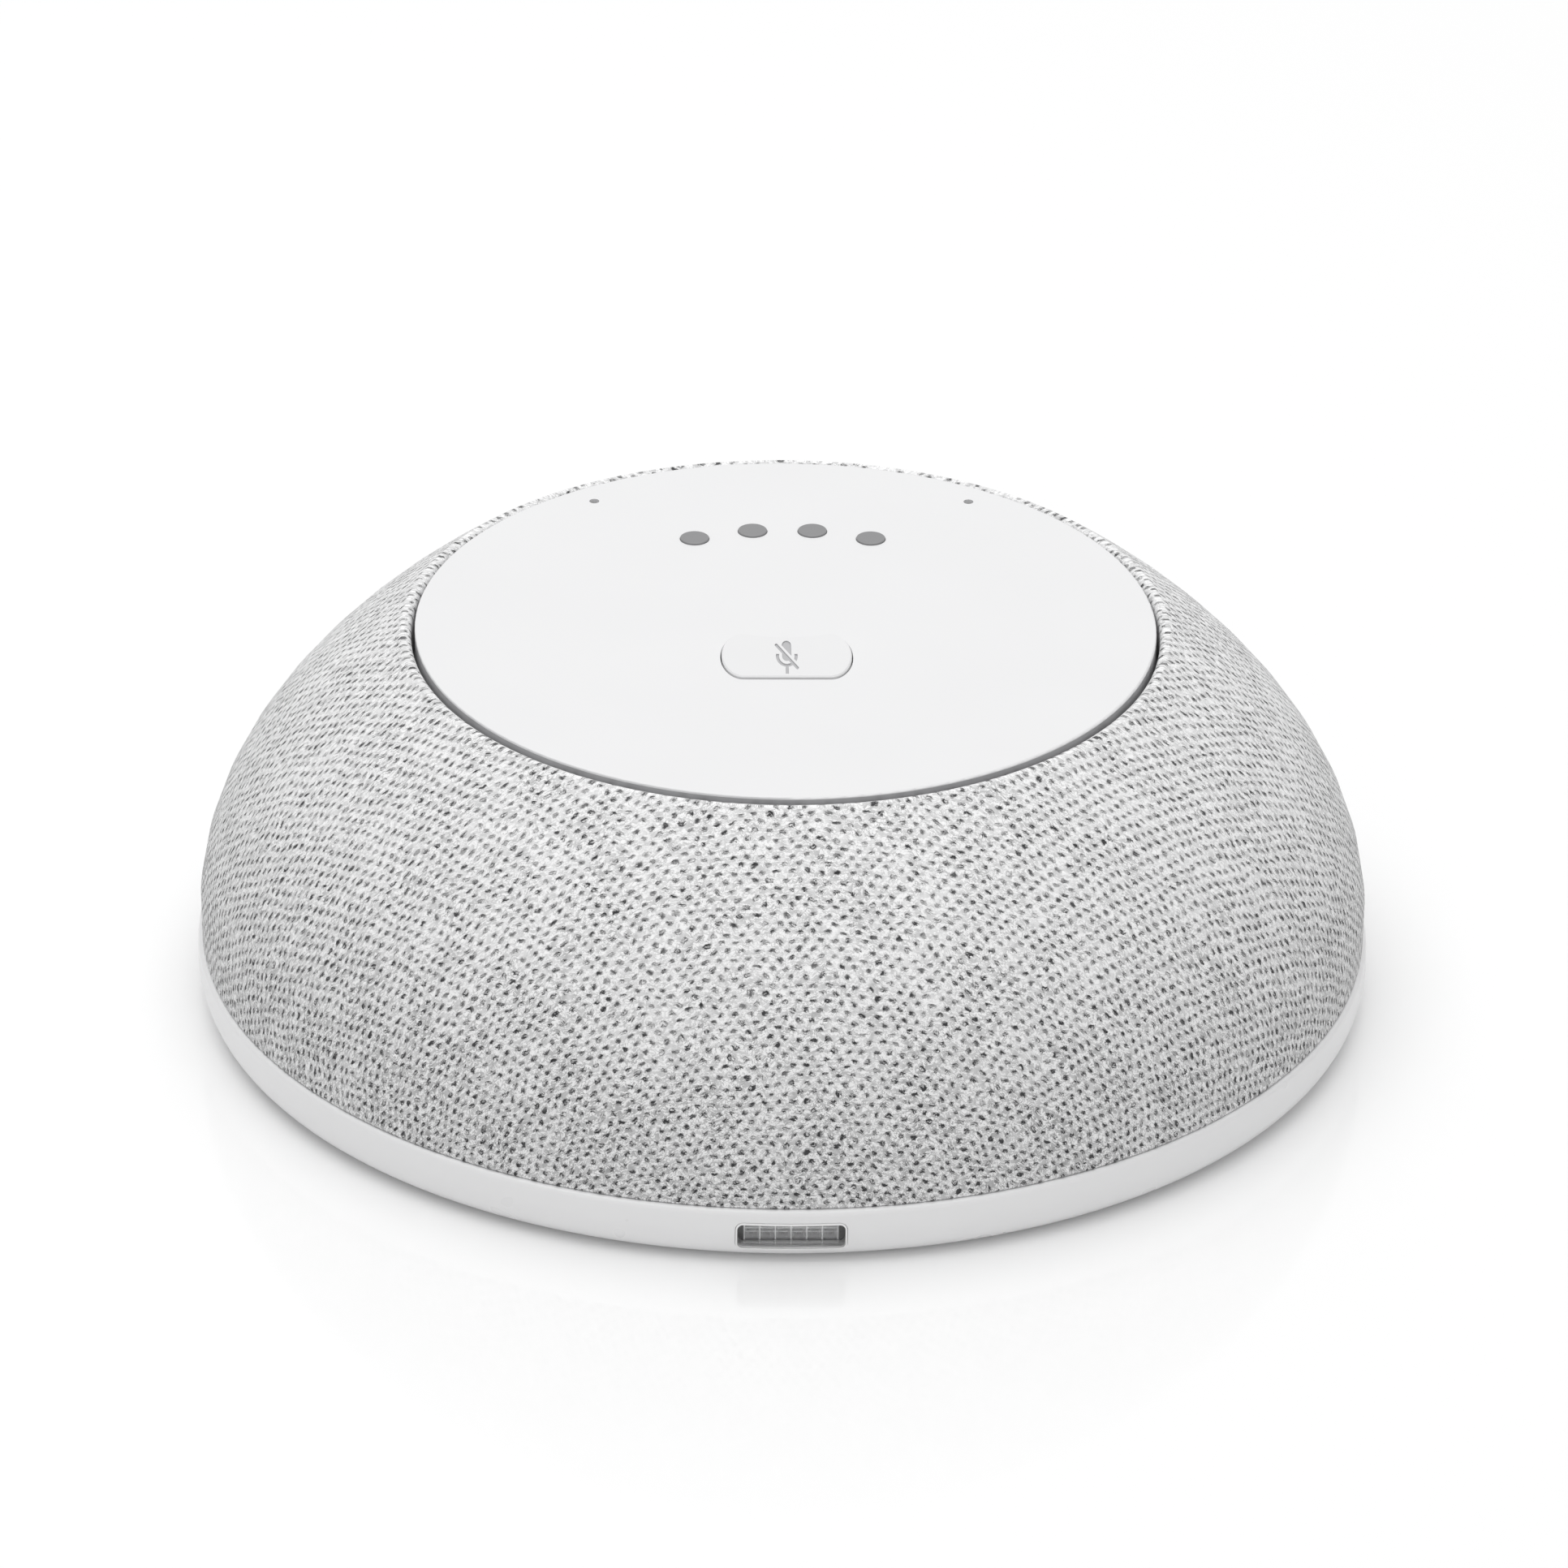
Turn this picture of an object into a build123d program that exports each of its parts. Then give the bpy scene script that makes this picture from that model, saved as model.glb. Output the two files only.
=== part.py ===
from build123d import *
import os
from math import cos, radians, sin

# Low round smart speaker. Millimetres, +Z up, origin at the centre of the footprint on the table.
# -Y is the front, with the light window, and +Y the back, with the power socket.

# Overall form
base_diameter = 140.0
cover_height = 47.5        # top face of the cover above the table
cover_radius = 43.95
rim_height = 7.2           # seam between base and fabric
fabric_thickness = 0.9
fit_gap = 0.05             # clearance between pieces that are fitted together

# Base
base_lift = 0.4            # underside of the base above the table
base_wall = 3.2
base_floor = 1.6
base_curve_width = 3.0     # the lower corner is a quarter ellipse
base_curve_height = 4.6
rim_round = 0.7
lip_width = 2.2
lip_thickness = 1.1
foot_radius = 64.0
foot_thickness = 1.0
foot_round = 0.3
foot_gap = 0.2

# Dome under the fabric
seam_step = 0.55           # the base rim stands out past the fabric by this much
seam_lean = 6.7            # degrees that the dome leans outwards at the seam
crest_slope = 35.8         # degrees below level at the crest
lower_handle = 0.47        # fullness of the dome low down, as a share of its rise
upper_handle = 0.485       # fullness near the crest, as a share of its run
dome_bend = 40.0           # mean bend radius of the dome's section
cover_proud = 0.4          # the cover stands this far above the fabric's crest
hem_gap = 0.4              # between the cover's edge and the turned-in fabric
hem_drop = 4.2             # length of fabric turned down inside the crest
grille_wall = 1.6
grille_slots = 36
slot_width = 3.0
lower_slot_span = (15.5, 25.0)
upper_slot_span = (27.5, 38.0)
ledge_thickness = 1.4
ledge_width = 7.2
collar_wall = 1.8

# Front window
window_width = 12.5
window_height = 3.4
window_centre = 3.76
window_round = 0.7
bezel_width = 0.25
bezel_proud = 0.12
lens_recess = 0.3
lens_inset = 2.4           # flat back of the lens behind the base's outer face
reflector_depth = 2.3
reflector_flange = 1.0
cell_columns = 6
cell_rows = 2
cell_pitch = 1.8           # between columns
cell_rib = 0.12
cell_taper = 13.0
cell_led = (0.5, 0.3)
led_board_thickness = 0.8

# Power socket
socket_width = 8.94
socket_height = 3.2
socket_wall = 0.3
socket_depth = 8.3
socket_setback = 1.1       # mouth of the shell behind the base's outer face
socket_clearance = 0.2
tongue_width = 6.7
tongue_height = 0.7
tongue_length = 4.5

# Main board and what stands on it
board_radius = 50.0
board_thickness = 1.2
board_standoff = 3.0
board_tab_width = 14.0
board_tab_margin = 1.0
shield_size = 22.0
shield_height = 1.8
pad_thickness = 0.9
spreader_radius = 25.0
spreader_thickness = 1.0
capacitor_radius = 3.15
capacitor_height = 3.0
capacitor_ring = 36.0
connector_height = 1.3

# Speaker enclosure
enclosure_radius = 52.0
enclosure_wall = 2.0
seal_thickness = 0.4
lid_skirt = 4.8
lid_thickness = 2.2
antenna_thickness = 0.3
antenna_span = 24.0        # degrees round the enclosure
antenna_height = 8.0

# Driver
flange_width = 4.0
flange_thickness = 1.4
basket_radius = 24.0
basket_depth = 8.6
basket_sheet = 1.4
basket_step = 0.8
gasket_thickness = 0.6
yoke_radius = 16.0
yoke_thickness = 2.5
pole_radius = 6.4
magnet_bore = 10.0
magnet_height = 4.5
plate_bore = 8.0
plate_thickness = 2.0
driver_clearance = 1.5     # yoke above the enclosure's floor
coil_inner = 6.9
coil_outer = 7.5
coil_length = 8.1
roll_width = 4.4           # from the cone's edge to the basket's wall
cone_rise = 4.7
neck_height = 4.2          # cone's neck above the top plate
cone_sheet = 0.6
cap_radius = 8.6
cap_rise = 2.35
cap_sheet = 0.35
roll_sheet = 0.5
spider_sheet = 0.35
spider_rise = 1.9

# Speaker lead and ribbon cable
lead_radius = 0.8
lead_bend = 5.0
grommet_radius = 2.4
ribbon_width = 8.0
ribbon_thickness = 0.3
ribbon_bend = 4.0

# Top deck
cover_thickness = 1.6
cover_lip = 0.3
cover_round = 0.2
trim_width = 0.95
deck_space = 2.1           # between the cover and the board below it
deck_board_thickness = 1.0
frame_thickness = 1.2
deflector_inset = 12.95    # edge of the deflector inside the cover's edge
deflector_clearance = 2.2

# Status lights and microphones
light_radius = 1.75
light_raise = 0.2
light_ring = 25.5
light_angles = (65.5, 81.9, 98.1, 114.5)
baffle_arc = 64.0          # degrees round the axis
led_length = 1.6
led_width = 0.8
led_height = 0.6
light_flange = 0.45
light_flange_thickness = 0.6
baffle_margin = 3.2
microphone_inset = 3.65
microphone_angles = (55.9, 124.1)
microphone_hole = 0.6

# Mute button
button_front = -13.75
button_back = -2.6
button_flat = 5.1          # half length of the straight front edge
button_end = 2.6           # reach of the rounded ends past the straight edge
button_hollow = 0.95       # the back edge curves in by this much
button_raise = 0.37
button_chamfer = 0.15
button_clearance = 0.15
button_flange = 0.8
button_flange_thickness = 0.4
button_flange_gap = 0.15
mark_depth = 0.15
mark_stretch = 2.17        # length of the engraved mark along Y against its width
switch_size = 5.2
switch_height = 0.8
dome_radius = 1.9
dome_height = 0.5
dome_sheet = 0.12

# Fasteners
screw_shank = 1.1
screw_head = 2.2
screw_head_height = 1.4
small_shank = 0.8
small_head = 1.7
small_head_height = 1.1
clearance_hole = 0.15      # added to the shank's radius where it passes freely
boss_wall = 2.1
lug_height = 6.0
grille_screw_angles = (45, 135, 225, 315)
base_screw_angles = (20, 160, 200, 340)
board_screw_angles = (30, 150, 210, 330)
lid_screw_angles = (45, 135, 225, 315)
driver_screw_angles = (45, 135, 225, 315)
cover_screw_angles = (45, 135, 225, 315)
frame_screw_angles = (0, 90, 180, 270)

# Heights, from the table up
base_radius = base_diameter / 2
base_curve_top = base_lift + base_curve_height
base_curve_start = base_radius - base_curve_width
floor_top = foot_thickness + base_floor
lip_radius = base_radius - base_wall - lip_width
wall_radius = base_radius - base_wall
board_underside = floor_top + board_standoff
board_top = board_underside + board_thickness
shield_top = board_top + shield_height
pad_top = shield_top + pad_thickness
enclosure_bottom = pad_top + spreader_thickness
enclosure_floor_top = enclosure_bottom + enclosure_wall
yoke_bottom = enclosure_floor_top + driver_clearance
magnet_bottom = yoke_bottom + yoke_thickness
plate_bottom = magnet_bottom + magnet_height
plate_top = plate_bottom + plate_thickness
flange_bottom = plate_top + basket_depth
flange_top = flange_bottom + flange_thickness
enclosure_top = flange_bottom - gasket_thickness
lid_seam = enclosure_top - lid_thickness - lid_skirt
cover_underside = cover_height - cover_thickness
deck_board_top = cover_underside - deck_space
frame_top = deck_board_top - deck_board_thickness
ledge_top = frame_top - frame_thickness
ledge_bottom = ledge_top - ledge_thickness
grille_bottom = rim_height + fabric_thickness

# Radii and places that follow from the sizes above
seam_radius = base_radius - seam_step
lens_back = base_radius - lens_inset
flange_radius = basket_radius + flange_width
cone_radius = basket_radius - roll_width
deflector_radius = cover_radius - deflector_inset
microphone_ring = cover_radius - microphone_inset
hem_radius = cover_radius + hem_gap
grille_edge = (hem_radius + fabric_thickness, cover_height - cover_proud - fabric_thickness)
ledge_inner = grille_edge[0] - ledge_width
boss_radius = screw_shank + boss_wall
grille_lug_ring = lip_radius - boss_radius - 1.0
enclosure_lug_ring = enclosure_radius + boss_radius + 0.3
board_screw_ring = board_radius - 4.0
lid_screw_ring = enclosure_radius + screw_head - 0.2
driver_screw_ring = (flange_radius + basket_radius) / 2
cover_screw_ring = ledge_inner - small_head - 1.3
frame_screw_ring = cover_radius - trim_width - small_head - 0.3
deck_board_radius = cover_radius - trim_width - 0.4
button_centre = (button_front + button_back) / 2
button_depth = (button_back - button_front) / 2
lead_x = basket_radius + 7.0
ribbon_socket_x = board_radius - 3.0
ribbon_outer_x = enclosure_radius + 5.0
ribbon_deck_x = deflector_radius + 3.0
connector_top = board_top + connector_height
socket_level = board_underside - socket_height / 2


def spots(radius, angles):
    return [(radius * cos(radians(angle)), radius * sin(radians(angle))) for angle in angles]


# Control points of the dome's section, at a depth below the fabric's outer face.
def dome_curve(depth):
    rise = grille_edge[1] - rim_height
    run = seam_radius - grille_edge[0]
    shrink = 1 - depth / dome_bend
    lean, slope = radians(seam_lean), radians(crest_slope)
    out = fabric_thickness - depth
    foot = (seam_radius - depth / cos(lean), rim_height)
    crest = (grille_edge[0] + out * sin(slope), grille_edge[1] + out * cos(slope))
    low = lower_handle * rise * shrink
    high = upper_handle * run * shrink
    return [
        foot,
        (foot[0] + low * sin(lean), foot[1] + low * cos(lean)),
        (crest[0] + high * cos(slope), crest[1] - high * sin(slope)),
        crest,
    ]


# Half section of the base's outer form, grown outwards by the given amount.
def base_form(grow):
    with BuildSketch(Plane.XZ) as section:
        with BuildLine():
            Line((0, base_lift - grow), (base_curve_start, base_lift - grow))
            corner = EllipticalCenterArc(
                (base_curve_start, base_curve_top),
                base_curve_width + grow,
                base_curve_height + grow,
                start_angle=-90,
                arc_size=90,
            )
            side = Line(corner @ 1, (base_radius + grow, rim_height - rim_round))
            edge = JernArc(side @ 1, (0, 1), rim_round + grow, 90)
            Polyline(edge @ 1, (0, rim_height + grow), (0, base_lift - grow))
        make_face()
    return section.sketch


# A set of like screws; each runs from its head's seat to its tip, up or down.
def screw_set(places, seat, tip, shank, head, head_height):
    way = 1 if tip > seat else -1
    with BuildPart() as screws:
        with BuildSketch(Plane.XY.offset(seat)):
            with Locations(*places):
                Circle(shank)
        extrude(amount=tip - seat)
        with BuildSketch(Plane.XY.offset(seat)):
            with Locations(*places):
                Circle(head)
        extrude(amount=-way * head_height)
        with BuildSketch(Plane.XY.offset(seat - way * head_height)):
            with Locations(*places):
                RegularPolygon(head * 0.55, 6)
        extrude(amount=way * head_height * 0.5, mode=Mode.SUBTRACT)
    return screws


# Outline of the mute button, grown by the given amount: straight front edge, rounded ends, hollow back edge.
def button_form(grow):
    front, back = button_front - grow, button_back + grow
    reach, depth = button_end + grow, button_depth + grow
    with BuildSketch() as outline:
        with BuildLine():
            Line((-button_flat, front), (button_flat, front))
            EllipticalCenterArc((button_flat, button_centre), reach, depth, start_angle=-90, arc_size=180)
            ThreePointArc((button_flat, back), (0, back - button_hollow), (-button_flat, back))
            EllipticalCenterArc((-button_flat, button_centre), reach, depth, start_angle=90, arc_size=180)
        make_face()
    return outline.sketch


# Microphone-off mark, drawn upright and then stretched along Y.
mark_stroke = 0.36
holder_radius = 1.28
with BuildSketch() as plain_mark:
    with Locations((0, 0.77)):
        SlotOverall(2.44, 1.1, rotation=90)
    with Locations((0, 0.14)):
        Circle(holder_radius)
        Circle(holder_radius - mark_stroke, mode=Mode.SUBTRACT)
    with Locations((0, 0.4 + holder_radius)):
        Rectangle(2 * holder_radius + 1, 2 * holder_radius, mode=Mode.SUBTRACT)
    with Locations((0, 0.77)):
        SlotOverall(2.44, 1.1, rotation=90)
    with Locations((0, -1.5)):
        Rectangle(mark_stroke, 0.96)
    with Locations((0.2, 0.25)):
        SlotOverall(4.0, 0.4, rotation=-48.5, mode=Mode.SUBTRACT)
    with Locations((0, 0.1)):
        SlotOverall(4.0, mark_stroke, rotation=-48.5)
mute_mark = scale(plain_mark.sketch, by=(1, mark_stretch, 1), mode=Mode.PRIVATE)

# Base shell with its bosses, window opening, socket opening and recess for the foot
board_screw_spots = spots(board_screw_ring, board_screw_angles)
grille_screw_spots = spots(grille_lug_ring, grille_screw_angles)
base_screw_spots = spots(enclosure_lug_ring, base_screw_angles)
outer_form = base_form(0)
with BuildPart() as base_housing:
    revolve(outer_form, axis=Axis.Z)
    with BuildSketch(Plane.XZ):
        with BuildLine():
            Polyline(
                (0, floor_top),
                (wall_radius, floor_top),
                (wall_radius, rim_height - lip_thickness),
                (lip_radius, rim_height - lip_thickness),
                (lip_radius, rim_height + 1),
                (0, rim_height + 1),
                close=True,
            )
        make_face()
    revolve(axis=Axis.Z, mode=Mode.SUBTRACT)
    with BuildSketch(Plane.XY):
        Circle(foot_radius + foot_gap)
    extrude(amount=foot_thickness, mode=Mode.SUBTRACT)
    with BuildSketch(Plane.XY.offset(floor_top)):
        with Locations(*board_screw_spots):
            Circle(boss_radius)
    extrude(amount=board_standoff)
    with BuildSketch(Plane.XY.offset(floor_top)):
        with Locations(*grille_screw_spots):
            Circle(boss_radius)
    extrude(amount=grille_bottom - floor_top)
    with BuildSketch(Plane.XY.offset(floor_top)):
        with Locations(*base_screw_spots):
            Circle(boss_radius)
    extrude(amount=enclosure_bottom - floor_top)
    # pilot holes for the board's screws
    with BuildSketch(Plane.XY.offset(board_underside)):
        with Locations(*board_screw_spots):
            Circle(small_shank)
    extrude(amount=-board_standoff, mode=Mode.SUBTRACT)
    # counterbored clearance holes from below for the grille's and the enclosure's screws
    with BuildSketch(Plane.XY.offset(foot_thickness)):
        with Locations(*grille_screw_spots, *base_screw_spots):
            Circle(screw_head + clearance_hole)
    extrude(amount=screw_head_height, mode=Mode.SUBTRACT)
    with BuildSketch(Plane.XY.offset(foot_thickness)):
        with Locations(*grille_screw_spots, *base_screw_spots):
            Circle(screw_shank + clearance_hole)
    extrude(amount=enclosure_bottom, mode=Mode.SUBTRACT)
    # front window
    with BuildSketch(Plane.XZ.offset(lip_radius)):
        with Locations((0, window_centre)):
            RectangleRounded(
                window_width + 2 * bezel_width, window_height + 2 * bezel_width, window_round + bezel_width
            )
    extrude(amount=base_radius, mode=Mode.SUBTRACT)
    # pocket in the floor behind the window for the reflector and its board
    pocket_width = window_width + 2 * bezel_width + 2.5
    with BuildSketch(Plane.XZ.offset(wall_radius - reflector_flange - led_board_thickness - 0.6)):
        with Locations((0, window_centre)):
            Rectangle(pocket_width, window_height + 2 * bezel_width + 0.4)
    extrude(amount=reflector_flange + led_board_thickness + 0.2, mode=Mode.SUBTRACT)
    # power socket: opening in the wall and pocket in the floor
    with BuildSketch(Plane.XZ.offset(-base_radius - 1)):
        with Locations((0, socket_level)):
            SlotOverall(socket_width + 2 * socket_clearance, socket_height + 2 * socket_clearance)
    extrude(amount=base_wall + 3, mode=Mode.SUBTRACT)
    with BuildSketch(Plane.XZ.offset(-wall_radius)):
        with Locations((0, socket_level)):
            Rectangle(socket_width + 2, socket_height + 2 * socket_clearance)
    extrude(amount=socket_depth, mode=Mode.SUBTRACT)

# Rubber foot with a shallow groove round its underside
with BuildPart() as rubber_foot:
    with BuildSketch(Plane.XY):
        Circle(foot_radius)
    extrude(amount=foot_thickness)
    fillet(rubber_foot.faces().sort_by(Axis.Z)[0].edges(), foot_round)
    with BuildSketch(Plane.XY):
        Circle(foot_radius - 5)
        Circle(foot_radius - 7, mode=Mode.SUBTRACT)
    extrude(amount=foot_thickness / 2, mode=Mode.SUBTRACT)

screw_seat = foot_thickness + screw_head_height
grille_screws = screw_set(
    grille_screw_spots, screw_seat, grille_bottom + 4, screw_shank, screw_head, screw_head_height
)
base_screws = screw_set(
    base_screw_spots, screw_seat, enclosure_bottom + 4, screw_shank, screw_head, screw_head_height
)

# Front window: bezel, lens, reflector, board and lights
bezel_form = base_form(bezel_proud)
with BuildPart() as window_bezel:
    with BuildSketch(Plane.XZ.offset(wall_radius)):
        with Locations((0, window_centre)):
            RectangleRounded(
                window_width + 2 * bezel_width - 2 * fit_gap,
                window_height + 2 * bezel_width - 2 * fit_gap,
                window_round + bezel_width - fit_gap,
            )
            RectangleRounded(window_width, window_height, window_round, mode=Mode.SUBTRACT)
    extrude(amount=base_wall + 1)
    revolve(bezel_form, axis=Axis.Z, mode=Mode.INTERSECT)

lens_form = base_form(-lens_recess)
with BuildPart() as window_lens:
    with BuildSketch(Plane.XZ.offset(lens_back)):
        with Locations((0, window_centre)):
            RectangleRounded(window_width - 2 * fit_gap, window_height - 2 * fit_gap, window_round - fit_gap)
    extrude(amount=base_radius - lens_back)
    revolve(lens_form, axis=Axis.Z, mode=Mode.INTERSECT)

reflector_front = lens_back - 0.1
reflector_back = reflector_front - reflector_depth
led_board_back = reflector_back - led_board_thickness
row_pitch = (window_height - 2 * fit_gap - cell_rib) / cell_rows
with BuildPart() as window_reflector:
    with BuildSketch(Plane.XZ.offset(reflector_back)):
        with Locations((0, window_centre)):
            Rectangle(window_width + 2 * bezel_width + 0.6, window_height + 2 * bezel_width + 0.2)
    extrude(amount=reflector_flange)
    with BuildSketch(Plane.XZ.offset(reflector_back)):
        with Locations((0, window_centre)):
            RectangleRounded(window_width - 2 * fit_gap, window_height - 2 * fit_gap, window_round - fit_gap)
    extrude(amount=reflector_depth)
    with BuildSketch(Plane.XZ.offset(reflector_front)):
        with Locations((0, window_centre)):
            with GridLocations(cell_pitch, row_pitch, cell_columns, cell_rows):
                Rectangle(cell_pitch - cell_rib, row_pitch - cell_rib)
    extrude(amount=-reflector_depth, taper=cell_taper, mode=Mode.SUBTRACT)

with BuildPart() as window_led_board:
    with BuildSketch(Plane.XZ.offset(led_board_back)):
        with Locations((0, window_centre)):
            Rectangle(window_width + 2 * bezel_width + 0.6, window_height + 2 * bezel_width + 0.2)
    extrude(amount=led_board_thickness)

with BuildPart() as window_leds:
    with BuildSketch(Plane.XZ.offset(reflector_back)):
        with Locations((0, window_centre)):
            with GridLocations(cell_pitch, row_pitch, cell_columns, cell_rows):
                Rectangle(*cell_led)
    extrude(amount=0.3)

# Power socket: drawn metal shell round a plastic tongue, hung under the main board
socket_mouth = base_radius - socket_setback
with BuildPart() as power_port_shell:
    with BuildSketch(Plane.XZ.offset(-socket_mouth)):
        with Locations((0, socket_level)):
            SlotOverall(socket_width, socket_height)
    extrude(amount=socket_depth)
    with BuildSketch(Plane.XZ.offset(-socket_mouth)):
        with Locations((0, socket_level)):
            SlotOverall(socket_width - 2 * socket_wall, socket_height - 2 * socket_wall)
    extrude(amount=socket_depth - 1.0, mode=Mode.SUBTRACT)

tongue_root = socket_mouth - socket_depth + 1.0
with BuildPart() as power_port_tongue:
    with BuildSketch(Plane.XZ.offset(-tongue_root - tongue_length)):
        with Locations((0, socket_level)):
            Rectangle(tongue_width, tongue_height)
    extrude(amount=tongue_length)
    chamfer(power_port_tongue.faces().sort_by(Axis.Y)[-1].edges(), 0.15)

# Main board with a tab that carries the power socket
with BuildPart() as main_board:
    with BuildSketch(Plane.XY.offset(board_underside)):
        Circle(board_radius)
        with Locations((0, lip_radius / 2)):
            Rectangle(board_tab_width, lip_radius - 2 * board_tab_margin)
        with Locations(*board_screw_spots):
            Circle(small_shank + clearance_hole, mode=Mode.SUBTRACT)
    extrude(amount=board_thickness)

main_board_screws = screw_set(
    board_screw_spots, board_top, floor_top + 0.3, small_shank - fit_gap, small_head, small_head_height
)

with BuildPart() as soc_shield:
    with BuildSketch(Plane.XY.offset(board_top)):
        Rectangle(shield_size, shield_size)
    extrude(amount=shield_height)
    fillet(soc_shield.edges().filter_by(Axis.Z), 1.0)

with BuildPart() as thermal_pad:
    with BuildSketch(Plane.XY.offset(shield_top)):
        Rectangle(shield_size - 4, shield_size - 4)
    extrude(amount=pad_thickness)

with BuildPart() as heat_spreader:
    with BuildSketch(Plane.XY.offset(pad_top)):
        Circle(spreader_radius)
    extrude(amount=spreader_thickness)

with BuildPart() as capacitors:
    with BuildSketch(Plane.XY.offset(board_top)):
        with Locations(*spots(capacitor_ring, (60, 80, 100, 120, 260, 280))):
            Circle(capacitor_radius)
    extrude(amount=capacitor_height)
    fillet(capacitors.faces().filter_by(Axis.Z).group_by(Axis.Z)[-1].edges(), 0.4)

# Sealed speaker enclosure: bowl and lid, screwed together over a seal
base_lug_spots = spots(enclosure_lug_ring, base_screw_angles)
lid_lug_spots = spots(lid_screw_ring, lid_screw_angles)
with BuildPart() as enclosure_lower:
    with BuildSketch(Plane.XY.offset(enclosure_bottom)):
        Circle(enclosure_radius)
    extrude(amount=lid_seam - seal_thickness - enclosure_bottom)
    with BuildSketch(Plane.XY.offset(enclosure_bottom)):
        with Locations(*base_lug_spots):
            Circle(boss_radius)
    extrude(amount=lug_height)
    web_start = enclosure_radius - enclosure_wall / 2
    for angle in base_screw_angles:
        with BuildSketch(Plane.XY.offset(enclosure_bottom).rotated((0, 0, angle))):
            with Locations(((web_start + enclosure_lug_ring) / 2, 0)):
                Rectangle(enclosure_lug_ring - web_start, boss_radius)
        extrude(amount=lug_height)
    with BuildSketch(Plane.XY.offset(lid_seam - seal_thickness)):
        with Locations(*lid_lug_spots):
            Circle(boss_radius)
    extrude(amount=-lug_height)
    with BuildSketch(Plane.XY.offset(enclosure_floor_top)):
        Circle(enclosure_radius - enclosure_wall)
    extrude(amount=lid_seam, mode=Mode.SUBTRACT)
    with BuildSketch(Plane.XY.offset(enclosure_bottom)):
        with Locations(*base_lug_spots):
            Circle(screw_shank + fit_gap)
    extrude(amount=lug_height - 1, mode=Mode.SUBTRACT)
    with BuildSketch(Plane.XY.offset(lid_seam - seal_thickness)):
        with Locations(*lid_lug_spots):
            Circle(small_shank + fit_gap)
    extrude(amount=1 - lug_height, mode=Mode.SUBTRACT)
    with BuildSketch(Plane.XY.offset(enclosure_bottom)):
        with Locations((lead_x, 0)):
            Circle(grommet_radius - 0.7 + fit_gap)
    extrude(amount=enclosure_wall, mode=Mode.SUBTRACT)

with BuildPart() as enclosure_upper:
    with BuildSketch(Plane.XY.offset(lid_seam)):
        Circle(enclosure_radius)
    extrude(amount=enclosure_top - lid_seam)
    with BuildSketch(Plane.XY.offset(lid_seam)):
        with Locations(*lid_lug_spots):
            Circle(boss_radius)
    extrude(amount=lug_height / 2)
    with BuildSketch(Plane.XY.offset(lid_seam)):
        Circle(enclosure_radius - enclosure_wall)
    extrude(amount=lid_skirt, mode=Mode.SUBTRACT)
    driver_screw_spots = spots(driver_screw_ring, driver_screw_angles)
    with BuildSketch(Plane.XY.offset(enclosure_top - lid_thickness)):
        with Locations(*driver_screw_spots):
            Circle(small_shank + 1.5)
    extrude(amount=-lid_skirt / 2)
    with BuildSketch(Plane.XY.offset(lid_seam)):
        Circle(basket_radius + 0.3)
    extrude(amount=enclosure_top - lid_seam, mode=Mode.SUBTRACT)
    with BuildSketch(Plane.XY.offset(enclosure_top)):
        with Locations(*driver_screw_spots):
            Circle(small_shank + fit_gap)
    extrude(amount=-4, mode=Mode.SUBTRACT)
    with BuildSketch(Plane.XY.offset(lid_seam)):
        with Locations(*lid_lug_spots):
            Circle(small_shank + clearance_hole)
    extrude(amount=lug_height / 2, mode=Mode.SUBTRACT)
    # the screw heads sink into the lid's rim
    with BuildSketch(Plane.XY.offset(lid_seam + lug_height / 2)):
        with Locations(*lid_lug_spots):
            Circle(small_head + clearance_hole)
    extrude(amount=enclosure_top, mode=Mode.SUBTRACT)

with BuildPart() as enclosure_seal:
    with BuildSketch(Plane.XY.offset(lid_seam - seal_thickness)):
        Circle(enclosure_radius - 0.3)
        Circle(enclosure_radius - enclosure_wall + 0.3, mode=Mode.SUBTRACT)
    extrude(amount=seal_thickness)
    with BuildSketch(Plane.XY.offset(lid_seam - seal_thickness)):
        with Locations(*lid_lug_spots):
            Circle(small_shank + clearance_hole)
    extrude(amount=seal_thickness, mode=Mode.SUBTRACT)

enclosure_screws = screw_set(
    lid_lug_spots,
    lid_seam + lug_height / 2,
    lid_seam - seal_thickness - 3,
    small_shank,
    small_head,
    small_head_height,
)

with BuildPart() as wifi_antennas:
    for angle in (90, 270):
        with BuildSketch(Plane.XZ.rotated((0, 0, angle - antenna_span / 2))):
            with Locations((enclosure_radius + fit_gap + antenna_thickness / 2, enclosure_bottom + 8)):
                Rectangle(antenna_thickness, antenna_height)
        revolve(axis=Axis.Z, revolution_arc=antenna_span)

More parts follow.
